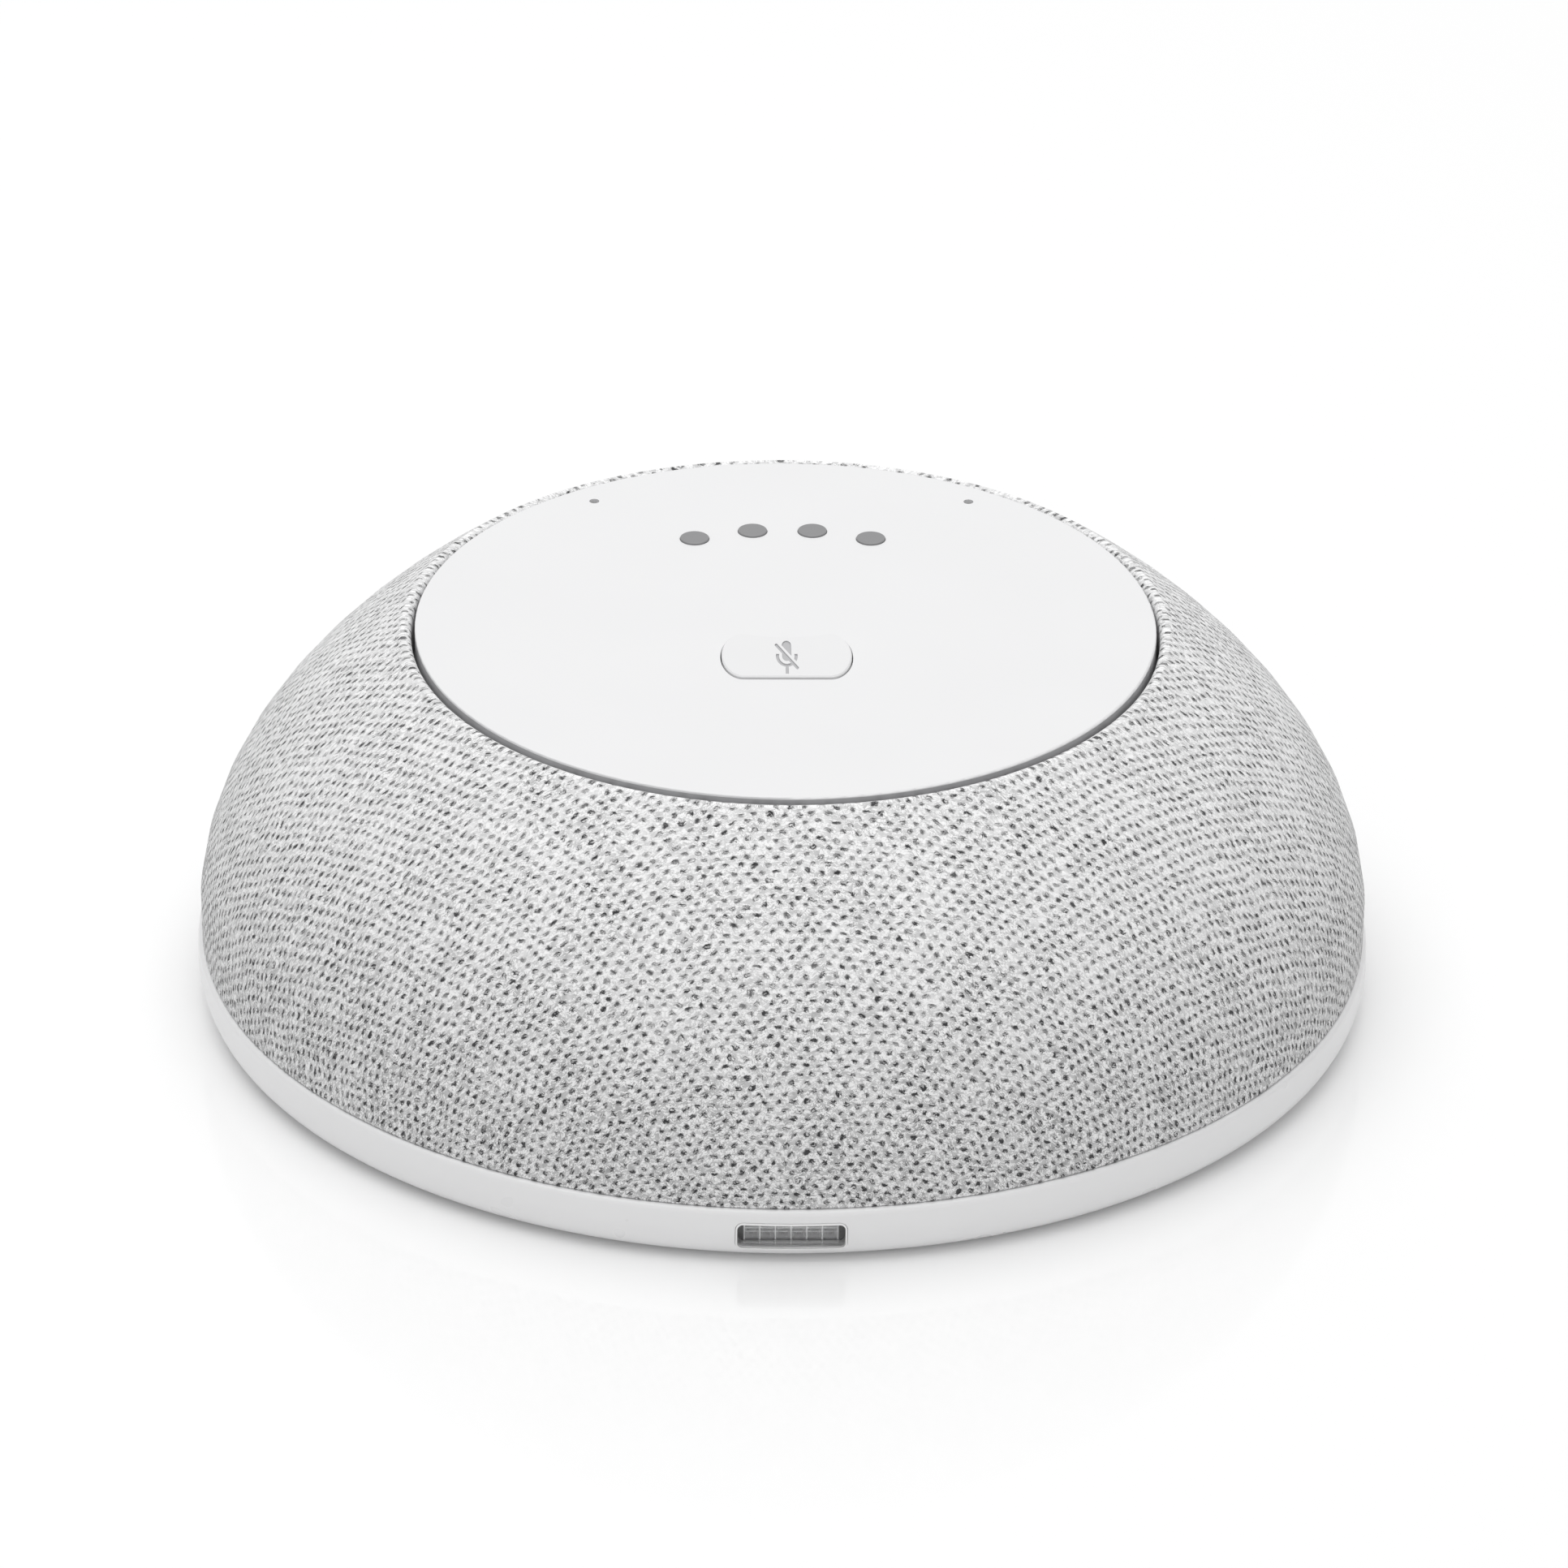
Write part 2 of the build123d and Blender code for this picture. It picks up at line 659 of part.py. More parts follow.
# Driver: basket, magnet system, moving cone with its coil, and the soft parts that hold it
cone_neck = plate_top + neck_height
cone_edge = cone_neck + cone_rise
spider_ledge = plate_top + basket_sheet + 0.4
with BuildPart() as driver_basket:
    with BuildSketch(Plane.XZ):
        with BuildLine():
            Polyline(
                (magnet_bore, plate_top),
                (yoke_radius + 0.5, plate_top),
                (basket_radius, flange_bottom - 1.1),
                (basket_radius, flange_bottom),
                (flange_radius, flange_bottom),
                (flange_radius, flange_top),
                (basket_radius + 0.6, flange_top),
                (basket_radius + 0.6, flange_top - basket_step),
                (basket_radius - 1, flange_top - basket_step),
                (basket_radius - 1, flange_bottom - 0.6),
                (yoke_radius + 1.6, spider_ledge),
                (yoke_radius - 0.4, spider_ledge),
                (yoke_radius - 0.4, plate_top + 1.2),
                (magnet_bore, plate_top + 1.2),
                close=True,
            )
        make_face()
    revolve(axis=Axis.Z)
    # openings between the basket's four legs
    for angle in (45, 135, 225, 315):
        with BuildSketch(Plane.XY.offset(spider_ledge + 0.6).rotated((0, 0, angle))):
            with Locations((basket_radius - 2, 0)):
                Rectangle(12, 20)
        extrude(amount=flange_bottom - spider_ledge - 1.2, mode=Mode.SUBTRACT)
    with BuildSketch(Plane.XY.offset(flange_bottom)):
        with Locations(*driver_screw_spots):
            Circle(small_shank + clearance_hole)
    extrude(amount=flange_thickness, mode=Mode.SUBTRACT)

with BuildPart() as driver_gasket:
    with BuildSketch(Plane.XY.offset(enclosure_top)):
        Circle(flange_radius - 0.2)
        Circle(basket_radius + 0.3, mode=Mode.SUBTRACT)
        with Locations(*driver_screw_spots):
            Circle(small_shank + clearance_hole, mode=Mode.SUBTRACT)
    extrude(amount=gasket_thickness)

driver_screws = screw_set(
    driver_screw_spots, flange_top, enclosure_top - 3.5, small_shank, small_head - 0.2, small_head_height
)

with BuildPart() as driver_yoke:
    with BuildSketch(Plane.XY.offset(yoke_bottom)):
        Circle(yoke_radius)
    extrude(amount=yoke_thickness)
    chamfer(driver_yoke.edges().sort_by(Axis.Z)[0], 1.0)
    with BuildSketch(Plane.XY.offset(magnet_bottom)):
        Circle(pole_radius)
    extrude(amount=plate_top - magnet_bottom)

with BuildPart() as driver_magnet:
    with BuildSketch(Plane.XY.offset(magnet_bottom)):
        Circle(yoke_radius)
        Circle(magnet_bore, mode=Mode.SUBTRACT)
    extrude(amount=magnet_height)

with BuildPart() as driver_top_plate:
    with BuildSketch(Plane.XY.offset(plate_bottom)):
        Circle(yoke_radius - 0.5)
        Circle(plate_bore, mode=Mode.SUBTRACT)
    extrude(amount=plate_thickness)

with BuildPart() as voice_coil:
    with BuildSketch(Plane.XY.offset(cone_neck + 1.2 - coil_length)):
        Circle(coil_outer)
        Circle(coil_inner, mode=Mode.SUBTRACT)
    extrude(amount=coil_length)

with BuildPart() as speaker_cone:
    with BuildSketch(Plane.XZ):
        with BuildLine():
            Polyline(
                (coil_outer + 0.02, cone_neck),
                (cone_radius, cone_edge),
                (cone_radius, cone_edge + cone_sheet),
                (coil_outer + 0.02, cone_neck + cone_sheet),
                close=True,
            )
        make_face()
    revolve(axis=Axis.Z)

cap_seat = cone_neck + cone_sheet + (cap_radius - coil_outer) * cone_rise / (cone_radius - coil_outer)
with BuildPart() as dust_cap:
    with BuildSketch(Plane.XZ):
        with BuildLine():
            inner_cap = ThreePointArc(
                (-cap_radius, cap_seat + fit_gap), (0, cap_seat + cap_rise), (cap_radius, cap_seat + fit_gap)
            )
            outer_cap = ThreePointArc(
                (-cap_radius, cap_seat + fit_gap + cap_sheet),
                (0, cap_seat + cap_rise + cap_sheet),
                (cap_radius, cap_seat + fit_gap + cap_sheet),
            )
            Line(inner_cap @ 0, outer_cap @ 0)
            Line(inner_cap @ 1, outer_cap @ 1)
        make_face()
        with Locations((-cap_radius, cap_seat)):
            Rectangle(2 * cap_radius, 4 * cap_rise, mode=Mode.SUBTRACT)
    revolve(axis=Axis.Z)

# rubber half roll between the cone's edge and the basket's step
surround_seat = flange_top - basket_step
roll_inner = cone_radius + fit_gap
roll_outer = basket_radius - 0.45
roll_centre = (roll_inner + roll_outer) / 2
roll_radius = (roll_outer - roll_inner) / 2
with BuildPart() as driver_surround:
    with BuildSketch(Plane.XZ):
        with Locations((roll_centre, surround_seat)):
            Circle(roll_radius)
            Circle(roll_radius - roll_sheet, mode=Mode.SUBTRACT)
        with Locations((roll_centre, surround_seat - roll_radius)):
            Rectangle(3 * roll_radius, 2 * roll_radius, mode=Mode.SUBTRACT)
        with Locations(((roll_outer + basket_radius + 0.4) / 2, surround_seat + roll_sheet / 2)):
            Rectangle(basket_radius + 0.4 - roll_outer + 0.2, roll_sheet)
    revolve(axis=Axis.Z)

# corrugated spider, dished so that it meets the coil above its own seat
spider_inner = coil_outer + fit_gap
spider_outer = yoke_radius + 1.2
spider_steps = 6
spider_line = [
    (
        spider_inner + (spider_outer - spider_inner) * step / spider_steps,
        spider_ledge + spider_rise * (1 - step / spider_steps) + (0.3 if step % 2 else 0),
    )
    for step in range(spider_steps)
]
spider_line += [(yoke_radius - 0.2, spider_ledge + fit_gap), (spider_outer, spider_ledge + fit_gap)]
spider_upper = [(radius, height + spider_sheet) for radius, height in reversed(spider_line)]
with BuildPart() as driver_spider:
    with BuildSketch(Plane.XZ):
        with BuildLine():
            Polyline(*spider_line, *spider_upper, close=True)
        make_face()
    revolve(axis=Axis.Z)

terminal_x = basket_radius - 1.6
terminal_height = spider_ledge + 1.6
with BuildPart() as driver_terminals:
    with BuildSketch(Plane.XY.offset(terminal_height - 1.6)):
        with Locations((terminal_x, 0)):
            Rectangle(1.0, 7.0)
    extrude(amount=3.2)

# Speaker lead, from the terminals through a grommet in the enclosure's floor to its plug
lead_points = [(terminal_x + 0.5, terminal_height), (lead_x, terminal_height), (lead_x, connector_top)]
with BuildPart() as speaker_lead:
    with BuildLine(Plane.XZ) as lead_path:
        FilletPolyline(*lead_points, radius=lead_bend)
    with BuildSketch(Plane(origin=lead_path.line @ 0, z_dir=(1, 0, 0))):
        Circle(lead_radius)
    sweep()

with BuildPart() as lead_grommet:
    with BuildSketch(Plane.XY.offset(enclosure_bottom - 0.8)):
        with Locations((lead_x, 0)):
            Circle(grommet_radius)
    extrude(amount=0.8)
    with BuildSketch(Plane.XY.offset(enclosure_bottom)):
        with Locations((lead_x, 0)):
            Circle(grommet_radius - 0.7)
    extrude(amount=enclosure_wall)
    with BuildSketch(Plane.XY.offset(enclosure_floor_top)):
        with Locations((lead_x, 0)):
            Circle(grommet_radius)
    extrude(amount=0.8)
    with BuildSketch(Plane.XY.offset(enclosure_bottom - 0.8)):
        with Locations((lead_x, 0)):
            Circle(lead_radius + fit_gap)
    extrude(amount=enclosure_wall + 1.6, mode=Mode.SUBTRACT)

with BuildPart() as speaker_lead_plug:
    with BuildSketch(Plane.XY.offset(board_top)):
        with Locations((lead_x, 0)):
            Rectangle(4.0, 6.0)
    extrude(amount=connector_height)

# Ribbon cable between the two boards, with a socket on each
ribbon_level = board_top + connector_height / 2
ribbon_points = [
    (-ribbon_socket_x - 1.5, ribbon_level),
    (-ribbon_outer_x, ribbon_level),
    (-ribbon_outer_x, enclosure_top - 1),
    (-ribbon_deck_x - 16, flange_top + 3.3),
    (-ribbon_deck_x, flange_top + 3.3),
    (-ribbon_deck_x, deck_board_top),
]
with BuildPart() as ribbon_cable:
    with BuildLine(Plane.XZ) as ribbon_path:
        FilletPolyline(*ribbon_points, radius=(ribbon_bend, ribbon_bend, ribbon_bend, ribbon_bend - 1))
    with BuildSketch(Plane(origin=ribbon_path.line @ 0, x_dir=(0, 1, 0), z_dir=(-1, 0, 0))):
        Rectangle(ribbon_width, ribbon_thickness)
    sweep()

with BuildPart() as ribbon_sockets:
    with BuildSketch(Plane.XY.offset(board_top)):
        with Locations((-ribbon_socket_x, 0)):
            Rectangle(3.0, ribbon_width + 2)
    extrude(amount=connector_height)
    with BuildSketch(Plane.XY.offset(deck_board_top)):
        with Locations((-ribbon_deck_x, 0)):
            Rectangle(3.0, ribbon_width + 2)
    extrude(amount=connector_height)

# Rigid slotted dome that carries the fabric
with BuildPart() as grille_shell:
    with BuildSketch(Plane.XZ):
        with BuildLine():
            outer_face = Bezier(*dome_curve(fabric_thickness))
            inner_face = Bezier(*dome_curve(fabric_thickness + grille_wall))
            Line(outer_face @ 0, inner_face @ 0)
            Line(outer_face @ 1, inner_face @ 1)
        make_face()
        with Locations((seam_radius, rim_height)):
            Rectangle(20, 2 * fabric_thickness, mode=Mode.SUBTRACT)
        # seat for the top frame, and the collar that the fabric turns over
        ledge_outer = grille_edge[0] + 5.4
        with Locations(((ledge_inner + ledge_outer) / 2, (ledge_bottom + ledge_top) / 2)):
            Rectangle(ledge_outer - ledge_inner, ledge_thickness)
        with Locations((grille_edge[0] + collar_wall / 2, (ledge_bottom + cover_underside) / 2 - 0.8)):
            Rectangle(collar_wall, cover_underside - ledge_bottom - 1.6)
        with Locations((grille_edge[0] / 2, ledge_top + 5)):
            Rectangle(grille_edge[0], 10, mode=Mode.SUBTRACT)
    revolve(axis=Axis.Z)
    # lugs for the screws from the base
    web_bottom = grille_bottom + 1.7
    web_end = seam_radius - fabric_thickness - grille_wall / 2
    with BuildSketch(Plane.XY.offset(grille_bottom)):
        with Locations(*grille_screw_spots):
            Circle(boss_radius)
    extrude(amount=lug_height)
    for angle in grille_screw_angles:
        with BuildSketch(Plane.XY.offset(web_bottom).rotated((0, 0, angle))):
            with Locations(((grille_lug_ring + web_end) / 2, 0)):
                Rectangle(web_end - grille_lug_ring, boss_radius)
        extrude(amount=lug_height - 1.7)
    with BuildSketch(Plane.XY.offset(grille_bottom)):
        with Locations(*grille_screw_spots):
            Circle(screw_shank + fit_gap)
    extrude(amount=lug_height - 1, mode=Mode.SUBTRACT)
    # sound openings in two staggered rows
    for span, turn in ((lower_slot_span, 0), (upper_slot_span, 180 / grille_slots)):
        with BuildSketch(Plane.XY.offset(span[0])):
            with PolarLocations(base_radius - 10, grille_slots, start_angle=turn):
                Rectangle(30, slot_width)
        extrude(amount=span[1] - span[0], mode=Mode.SUBTRACT)
    # pilot holes for the top frame's screws
    frame_screw_spots = spots(frame_screw_ring, frame_screw_angles)
    with BuildSketch(Plane.XY.offset(ledge_bottom)):
        with Locations(*frame_screw_spots):
            Circle(small_shank + fit_gap)
    extrude(amount=ledge_thickness, mode=Mode.SUBTRACT)

# Fabric pulled over the dome, turned in at the top and under at the bottom
with BuildPart() as fabric_cover:
    with BuildSketch(Plane.XZ):
        with BuildLine():
            outside = Bezier(*dome_curve(0))
            inside = Bezier(*dome_curve(fabric_thickness))
            turn_in = JernArc(
                outside @ 1,
                (-cos(radians(crest_slope)), sin(radians(crest_slope))),
                fabric_thickness,
                90 + crest_slope,
            )
            Polyline(
                turn_in @ 1,
                (hem_radius, grille_edge[1] - hem_drop),
                (grille_edge[0], grille_edge[1] - hem_drop),
                inside @ 1,
            )
            Line(inside @ 0, outside @ 0)
        make_face()
        hem_outer = seam_radius - fabric_thickness / 2
        with Locations(((lip_radius + hem_outer) / 2, rim_height + fabric_thickness / 2)):
            Rectangle(hem_outer - lip_radius, fabric_thickness)
    revolve(axis=Axis.Z)

with BuildPart() as fabric_retainer_ring:
    with BuildSketch(Plane.XY.offset(grille_bottom)):
        Circle(lip_radius + 2.1)
        Circle(lip_radius, mode=Mode.SUBTRACT)
    extrude(amount=1.5)

# Top deck: frame, board, cover and what they hold
cover_screw_spots = spots(cover_screw_ring, cover_screw_angles)
with BuildPart() as top_frame:
    with BuildSketch(Plane.XY.offset(ledge_top)):
        Circle(cover_radius)
        with Locations(*frame_screw_spots, *cover_screw_spots):
            Circle(small_shank + clearance_hole, mode=Mode.SUBTRACT)
        with Locations((-ribbon_deck_x, 0)):
            Rectangle(1.6, ribbon_width + 1, mode=Mode.SUBTRACT)
    extrude(amount=frame_thickness)

with BuildPart() as top_board:
    with BuildSketch(Plane.XY.offset(frame_top)):
        Circle(deck_board_radius)
        with Locations(*frame_screw_spots):
            Circle(small_head + 0.4, mode=Mode.SUBTRACT)
        with Locations(*cover_screw_spots):
            Circle(small_shank + boss_wall - 0.2, mode=Mode.SUBTRACT)
        with Locations((-ribbon_deck_x, 0)):
            Rectangle(1.6, ribbon_width + 1, mode=Mode.SUBTRACT)
    extrude(amount=deck_board_thickness)

frame_screws = screw_set(
    frame_screw_spots, frame_top, ledge_bottom + 0.1, small_shank, small_head, small_head_height
)
top_cover_screws = screw_set(
    cover_screw_spots, ledge_top, cover_underside - 0.6, small_shank, small_head, small_head_height
)

light_spots = spots(light_ring, light_angles)
microphone_spots = spots(microphone_ring, microphone_angles)
button_opening = button_form(button_clearance)
with BuildPart() as top_cover:
    with BuildSketch(Plane.XY.offset(cover_height - cover_lip)):
        Circle(cover_radius)
    extrude(amount=cover_lip)
    fillet(top_cover.edges().sort_by(Axis.Z)[-1], cover_round)
    with BuildSketch(Plane.XY.offset(cover_underside)):
        Circle(cover_radius - trim_width - fit_gap)
    extrude(amount=cover_thickness - cover_lip)
    with BuildSketch(Plane.XY.offset(frame_top)):
        with Locations(*cover_screw_spots):
            Circle(small_shank + boss_wall - 0.6)
    extrude(amount=cover_underside - frame_top)
    with BuildSketch(Plane.XY.offset(frame_top)):
        with Locations(*cover_screw_spots):
            Circle(small_shank + fit_gap)
    extrude(amount=cover_underside - frame_top, mode=Mode.SUBTRACT)
    with BuildSketch(Plane.XY.offset(cover_underside)):
        add(button_opening)
    extrude(amount=cover_thickness, mode=Mode.SUBTRACT)
    with BuildSketch(Plane.XY.offset(cover_underside)):
        with Locations(*light_spots):
            Circle(light_radius + fit_gap)
        with Locations(*microphone_spots):
            Circle(microphone_hole)
    extrude(amount=cover_thickness, mode=Mode.SUBTRACT)

with BuildPart() as top_trim_ring:
    with BuildSketch(Plane.XY.offset(frame_top)):
        Circle(cover_radius)
        Circle(cover_radius - trim_width, mode=Mode.SUBTRACT)
    extrude(amount=cover_height - cover_lip - frame_top)

lens_bottom = cover_underside - light_flange_thickness
with BuildPart() as status_lenses:
    with BuildSketch(Plane.XY.offset(lens_bottom)):
        with Locations(*light_spots):
            Circle(light_radius)
    extrude(amount=cover_height + light_raise - lens_bottom)
    fillet(status_lenses.faces().filter_by(Axis.Z).group_by(Axis.Z)[-1].edges(), 0.12)
    with BuildSketch(Plane.XY.offset(lens_bottom)):
        with Locations(*light_spots):
            Circle(light_radius + light_flange)
    extrude(amount=light_flange_thickness)

baffle_start = 90 - baffle_arc / 2
with BuildPart() as led_baffle:
    with BuildSketch(Plane.XZ.rotated((0, 0, baffle_start))):
        with Locations((light_ring, (deck_board_top + lens_bottom) / 2)):
            Rectangle(2 * baffle_margin, lens_bottom - deck_board_top)
    revolve(axis=Axis.Z, revolution_arc=baffle_arc)
    with BuildSketch(Plane.XY.offset(deck_board_top)):
        with Locations(*light_spots):
            Circle(light_radius - 0.25)
    extrude(amount=lens_bottom - deck_board_top, mode=Mode.SUBTRACT)

with BuildPart() as status_leds:
    with BuildSketch(Plane.XY.offset(deck_board_top)):
        with Locations(*light_spots):
            Rectangle(led_length, led_width)
    extrude(amount=led_height)

with BuildPart() as mic_capsules:
    with BuildSketch(Plane.XY.offset(deck_board_top)):
        with Locations(*microphone_spots):
            Rectangle(3.5, 2.7)
    extrude(amount=deck_space / 2)

with BuildPart() as mic_seals:
    with BuildSketch(Plane.XY.offset(deck_board_top + deck_space / 2)):
        with Locations(*microphone_spots):
            Circle(1.5)
            Circle(microphone_hole, mode=Mode.SUBTRACT)
    extrude(amount=deck_space / 2)

with BuildPart() as acoustic_deflector:
    with BuildSketch(Plane.XZ):
        with BuildLine():
            tip = flange_top + deflector_clearance
            flare = Bezier(
                (0, tip),
                (0.3 * deflector_radius, tip),
                (0.6 * deflector_radius, ledge_top - 1.6),
                (deflector_radius, ledge_top - 0.8),
            )
            Polyline(flare @ 1, (deflector_radius, ledge_top), (0, ledge_top), (0, tip))
        make_face()
    revolve(axis=Axis.Z)

# Mute button over its switch
button_cap = button_form(0)
button_skirt = button_form(button_flange)
with BuildPart() as mute_button:
    flange_face = cover_underside - button_flange_gap - button_flange_thickness
    with BuildSketch(Plane.XY.offset(flange_face)):
        add(button_cap)
    extrude(amount=cover_height + button_raise - flange_face)
    chamfer(mute_button.faces().sort_by(Axis.Z)[-1].edges(), button_chamfer)
    with BuildSketch(Plane.XY.offset(flange_face)):
        add(button_skirt)
    extrude(amount=button_flange_thickness)
    nub_bottom = deck_board_top + switch_height + dome_height + fit_gap
    with BuildSketch(Plane.XY.offset(nub_bottom)):
        with Locations((0, button_centre)):
            Circle(1.0)
    extrude(amount=flange_face - nub_bottom)
    with BuildSketch(Plane.XY.offset(cover_height + button_raise)):
        with Locations((0, button_centre - 0.7)):
            add(mute_mark)
    extrude(amount=-mark_depth, mode=Mode.SUBTRACT)

with BuildPart() as mute_switch_body:
    with BuildSketch(Plane.XY.offset(deck_board_top)):
        with Locations((0, button_centre)):
            Rectangle(switch_size, switch_size)
    extrude(amount=switch_height)

dome_seat = (0, button_centre, deck_board_top + switch_height)
with BuildPart() as switch_dome:
    with BuildSketch(Plane(origin=dome_seat, x_dir=(1, 0, 0), z_dir=(0, -1, 0))):
        with BuildLine():
            outer_dome = ThreePointArc((-dome_radius, 0), (0, dome_height), (dome_radius, 0))
            inner_dome = ThreePointArc(
                (dome_sheet - dome_radius, 0), (0, dome_height - dome_sheet), (dome_radius - dome_sheet, 0)
            )
            Line(outer_dome @ 0, inner_dome @ 0)
            Line(outer_dome @ 1, inner_dome @ 1)
        make_face()
        with Locations((-dome_radius, 0)):
            Rectangle(2 * dome_radius, 2 * dome_radius, mode=Mode.SUBTRACT)
    revolve(axis=Axis(dome_seat, (0, 0, 1)))

pieces = {
    "rubber_foot": rubber_foot,
    "base_housing": base_housing,
    "base_screws": base_screws,
    "grille_screws": grille_screws,
    "window_bezel": window_bezel,
    "window_lens": window_lens,
    "window_reflector": window_reflector,
    "window_led_board": window_led_board,
    "window_leds": window_leds,
    "power_port_shell": power_port_shell,
    "power_port_tongue": power_port_tongue,
    "main_board": main_board,
    "main_board_screws": main_board_screws,
    "soc_shield": soc_shield,
    "thermal_pad": thermal_pad,
    "heat_spreader": heat_spreader,
    "capacitors": capacitors,
    "wifi_antennas": wifi_antennas,
    "enclosure_lower": enclosure_lower,
    "enclosure_upper": enclosure_upper,
    "enclosure_seal": enclosure_seal,
    "enclosure_screws": enclosure_screws,
    "driver_basket": driver_basket,
    "driver_gasket": driver_gasket,
    "driver_screws": driver_screws,
    "driver_yoke": driver_yoke,
    "driver_magnet": driver_magnet,
    "driver_top_plate": driver_top_plate,
    "driver_spider": driver_spider,
    "driver_surround": driver_surround,
    "driver_terminals": driver_terminals,
    "voice_coil": voice_coil,
    "speaker_cone": speaker_cone,
    "dust_cap": dust_cap,
    "speaker_lead": speaker_lead,
    "speaker_lead_plug": speaker_lead_plug,
    "lead_grommet": lead_grommet,
    "ribbon_cable": ribbon_cable,
    "ribbon_sockets": ribbon_sockets,
    "grille_shell": grille_shell,
    "fabric_cover": fabric_cover,
    "fabric_retainer_ring": fabric_retainer_ring,
    "acoustic_deflector": acoustic_deflector,
    "top_frame": top_frame,
    "frame_screws": frame_screws,
    "top_board": top_board,
    "top_cover": top_cover,
    "top_cover_screws": top_cover_screws,
    "top_trim_ring": top_trim_ring,
    "status_leds": status_leds,
    "led_baffle": led_baffle,
    "status_lenses": status_lenses,
    "mic_capsules": mic_capsules,
    "mic_seals": mic_seals,
    "mute_switch_body": mute_switch_body,
    "switch_dome": switch_dome,
    "mute_button": mute_button,
}
os.makedirs("parts", exist_ok=True)
for name, piece in pieces.items():
    piece.part.label = name
    export_step(piece.part, f"parts/{name}.step")
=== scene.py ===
import math

import bpy
import numpy as np
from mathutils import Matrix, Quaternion, Vector


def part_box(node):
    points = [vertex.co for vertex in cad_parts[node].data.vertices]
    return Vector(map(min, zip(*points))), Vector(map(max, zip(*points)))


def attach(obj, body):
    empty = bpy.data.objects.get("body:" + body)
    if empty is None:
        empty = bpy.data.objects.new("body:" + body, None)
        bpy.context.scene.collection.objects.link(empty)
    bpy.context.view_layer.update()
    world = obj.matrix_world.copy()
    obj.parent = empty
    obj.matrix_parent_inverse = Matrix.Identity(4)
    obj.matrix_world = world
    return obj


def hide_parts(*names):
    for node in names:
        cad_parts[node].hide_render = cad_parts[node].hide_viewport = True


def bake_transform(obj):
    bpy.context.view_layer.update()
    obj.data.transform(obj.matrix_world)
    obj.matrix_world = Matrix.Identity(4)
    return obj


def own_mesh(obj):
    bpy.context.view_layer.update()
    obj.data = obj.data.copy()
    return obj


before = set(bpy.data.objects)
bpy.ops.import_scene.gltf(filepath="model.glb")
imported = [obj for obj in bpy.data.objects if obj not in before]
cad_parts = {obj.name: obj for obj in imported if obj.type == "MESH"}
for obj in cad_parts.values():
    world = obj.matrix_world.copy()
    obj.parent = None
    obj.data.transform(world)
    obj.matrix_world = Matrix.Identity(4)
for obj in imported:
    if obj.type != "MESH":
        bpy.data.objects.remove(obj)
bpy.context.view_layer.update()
print("frame loaded:", len(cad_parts), "nodes")


# helpers for building material nodes

def startMaterial(name):
    material = bpy.data.materials.new(name)
    material.use_nodes = True
    tree = material.node_tree
    return material, tree, tree.nodes["Principled BSDF"]


def addNode(tree, kind, inputs=None, **settings):
    node = tree.nodes.new("ShaderNode" + kind)
    for key, value in settings.items():
        setattr(node, key, value)
    for key, value in (inputs or {}).items():
        if isinstance(value, bpy.types.NodeSocket):
            tree.links.new(value, node.inputs[key])
        else:
            node.inputs[key].default_value = value
    return node


def math2(tree, operation, first, second=0.0):
    return addNode(tree, "Math", {0: first, 1: second}, operation=operation).outputs[0]


def spread(tree, value, low, high, toLow=0.0, toHigh=1.0, smooth=True):
    inputs = {"Value": value, "From Min": low, "From Max": high, "To Min": toLow, "To Max": toHigh}
    way = "SMOOTHSTEP" if smooth else "LINEAR"
    return addNode(tree, "MapRange", inputs, interpolation_type=way).outputs[0]


def vary(tree, pattern, low, high):
    return spread(tree, pattern, 0.3, 0.7, low, high)  # a noise mostly lies between 0.3 and 0.7


def blendColour(tree, amount, first, second, way="MIX"):
    node = addNode(tree, "Mix", data_type="RGBA", blend_type=way)
    for key, value in ((0, amount), (6, first), (7, second)):
        if isinstance(value, bpy.types.NodeSocket):
            tree.links.new(value, node.inputs[key])
        else:
            node.inputs[key].default_value = value
    return node.outputs[2]


def noise(tree, where, scale, detail=3.0, roughness=0.55, distortion=0.0, dimensions="3D"):
    inputs = {"Vector": where, "Scale": scale, "Detail": detail, "Roughness": roughness}
    inputs["Distortion"] = distortion
    return addNode(tree, "TexNoise", inputs, noise_dimensions=dimensions).outputs["Fac"]


def place(tree, where, scale=(1, 1, 1), rotation=(0, 0, 0), location=(0, 0, 0)):
    inputs = {"Vector": where, "Scale": scale, "Rotation": rotation, "Location": location}
    return addNode(tree, "Mapping", inputs).outputs[0]


def objectSpot(tree):
    return addNode(tree, "TexCoord").outputs["Object"]


def vectorMath(tree, operation, first, second):
    return addNode(tree, "VectorMath", {0: first, 1: second}, operation=operation).outputs[0]


def vectorLength(tree, vector):
    return addNode(tree, "VectorMath", {0: vector}, operation="LENGTH").outputs["Value"]


def combine(tree, x, y, z=0.0):
    return addNode(tree, "CombineXYZ", {0: x, 1: y, 2: z}).outputs[0]


def bump(tree, height, depth, strength=1.0, normal=None):
    inputs = {"Height": height, "Distance": depth, "Strength": strength}
    if normal is not None:
        inputs["Normal"] = normal
    return addNode(tree, "Bump", inputs).outputs[0]


def dress(tree, shader, colour, roughness, normal):
    for name, socket in (("Base Color", colour), ("Roughness", roughness), ("Normal", normal)):
        tree.links.new(socket, shader.inputs[name])


def grey(level):
    return (level, level, level, 1.0)


def shade(colour, factor):
    return tuple(min(1.0, channel * factor) for channel in colour[:3]) + (1.0,)


# finishes of the fixed parts; grain, cell, pitch and depth are in millimetres

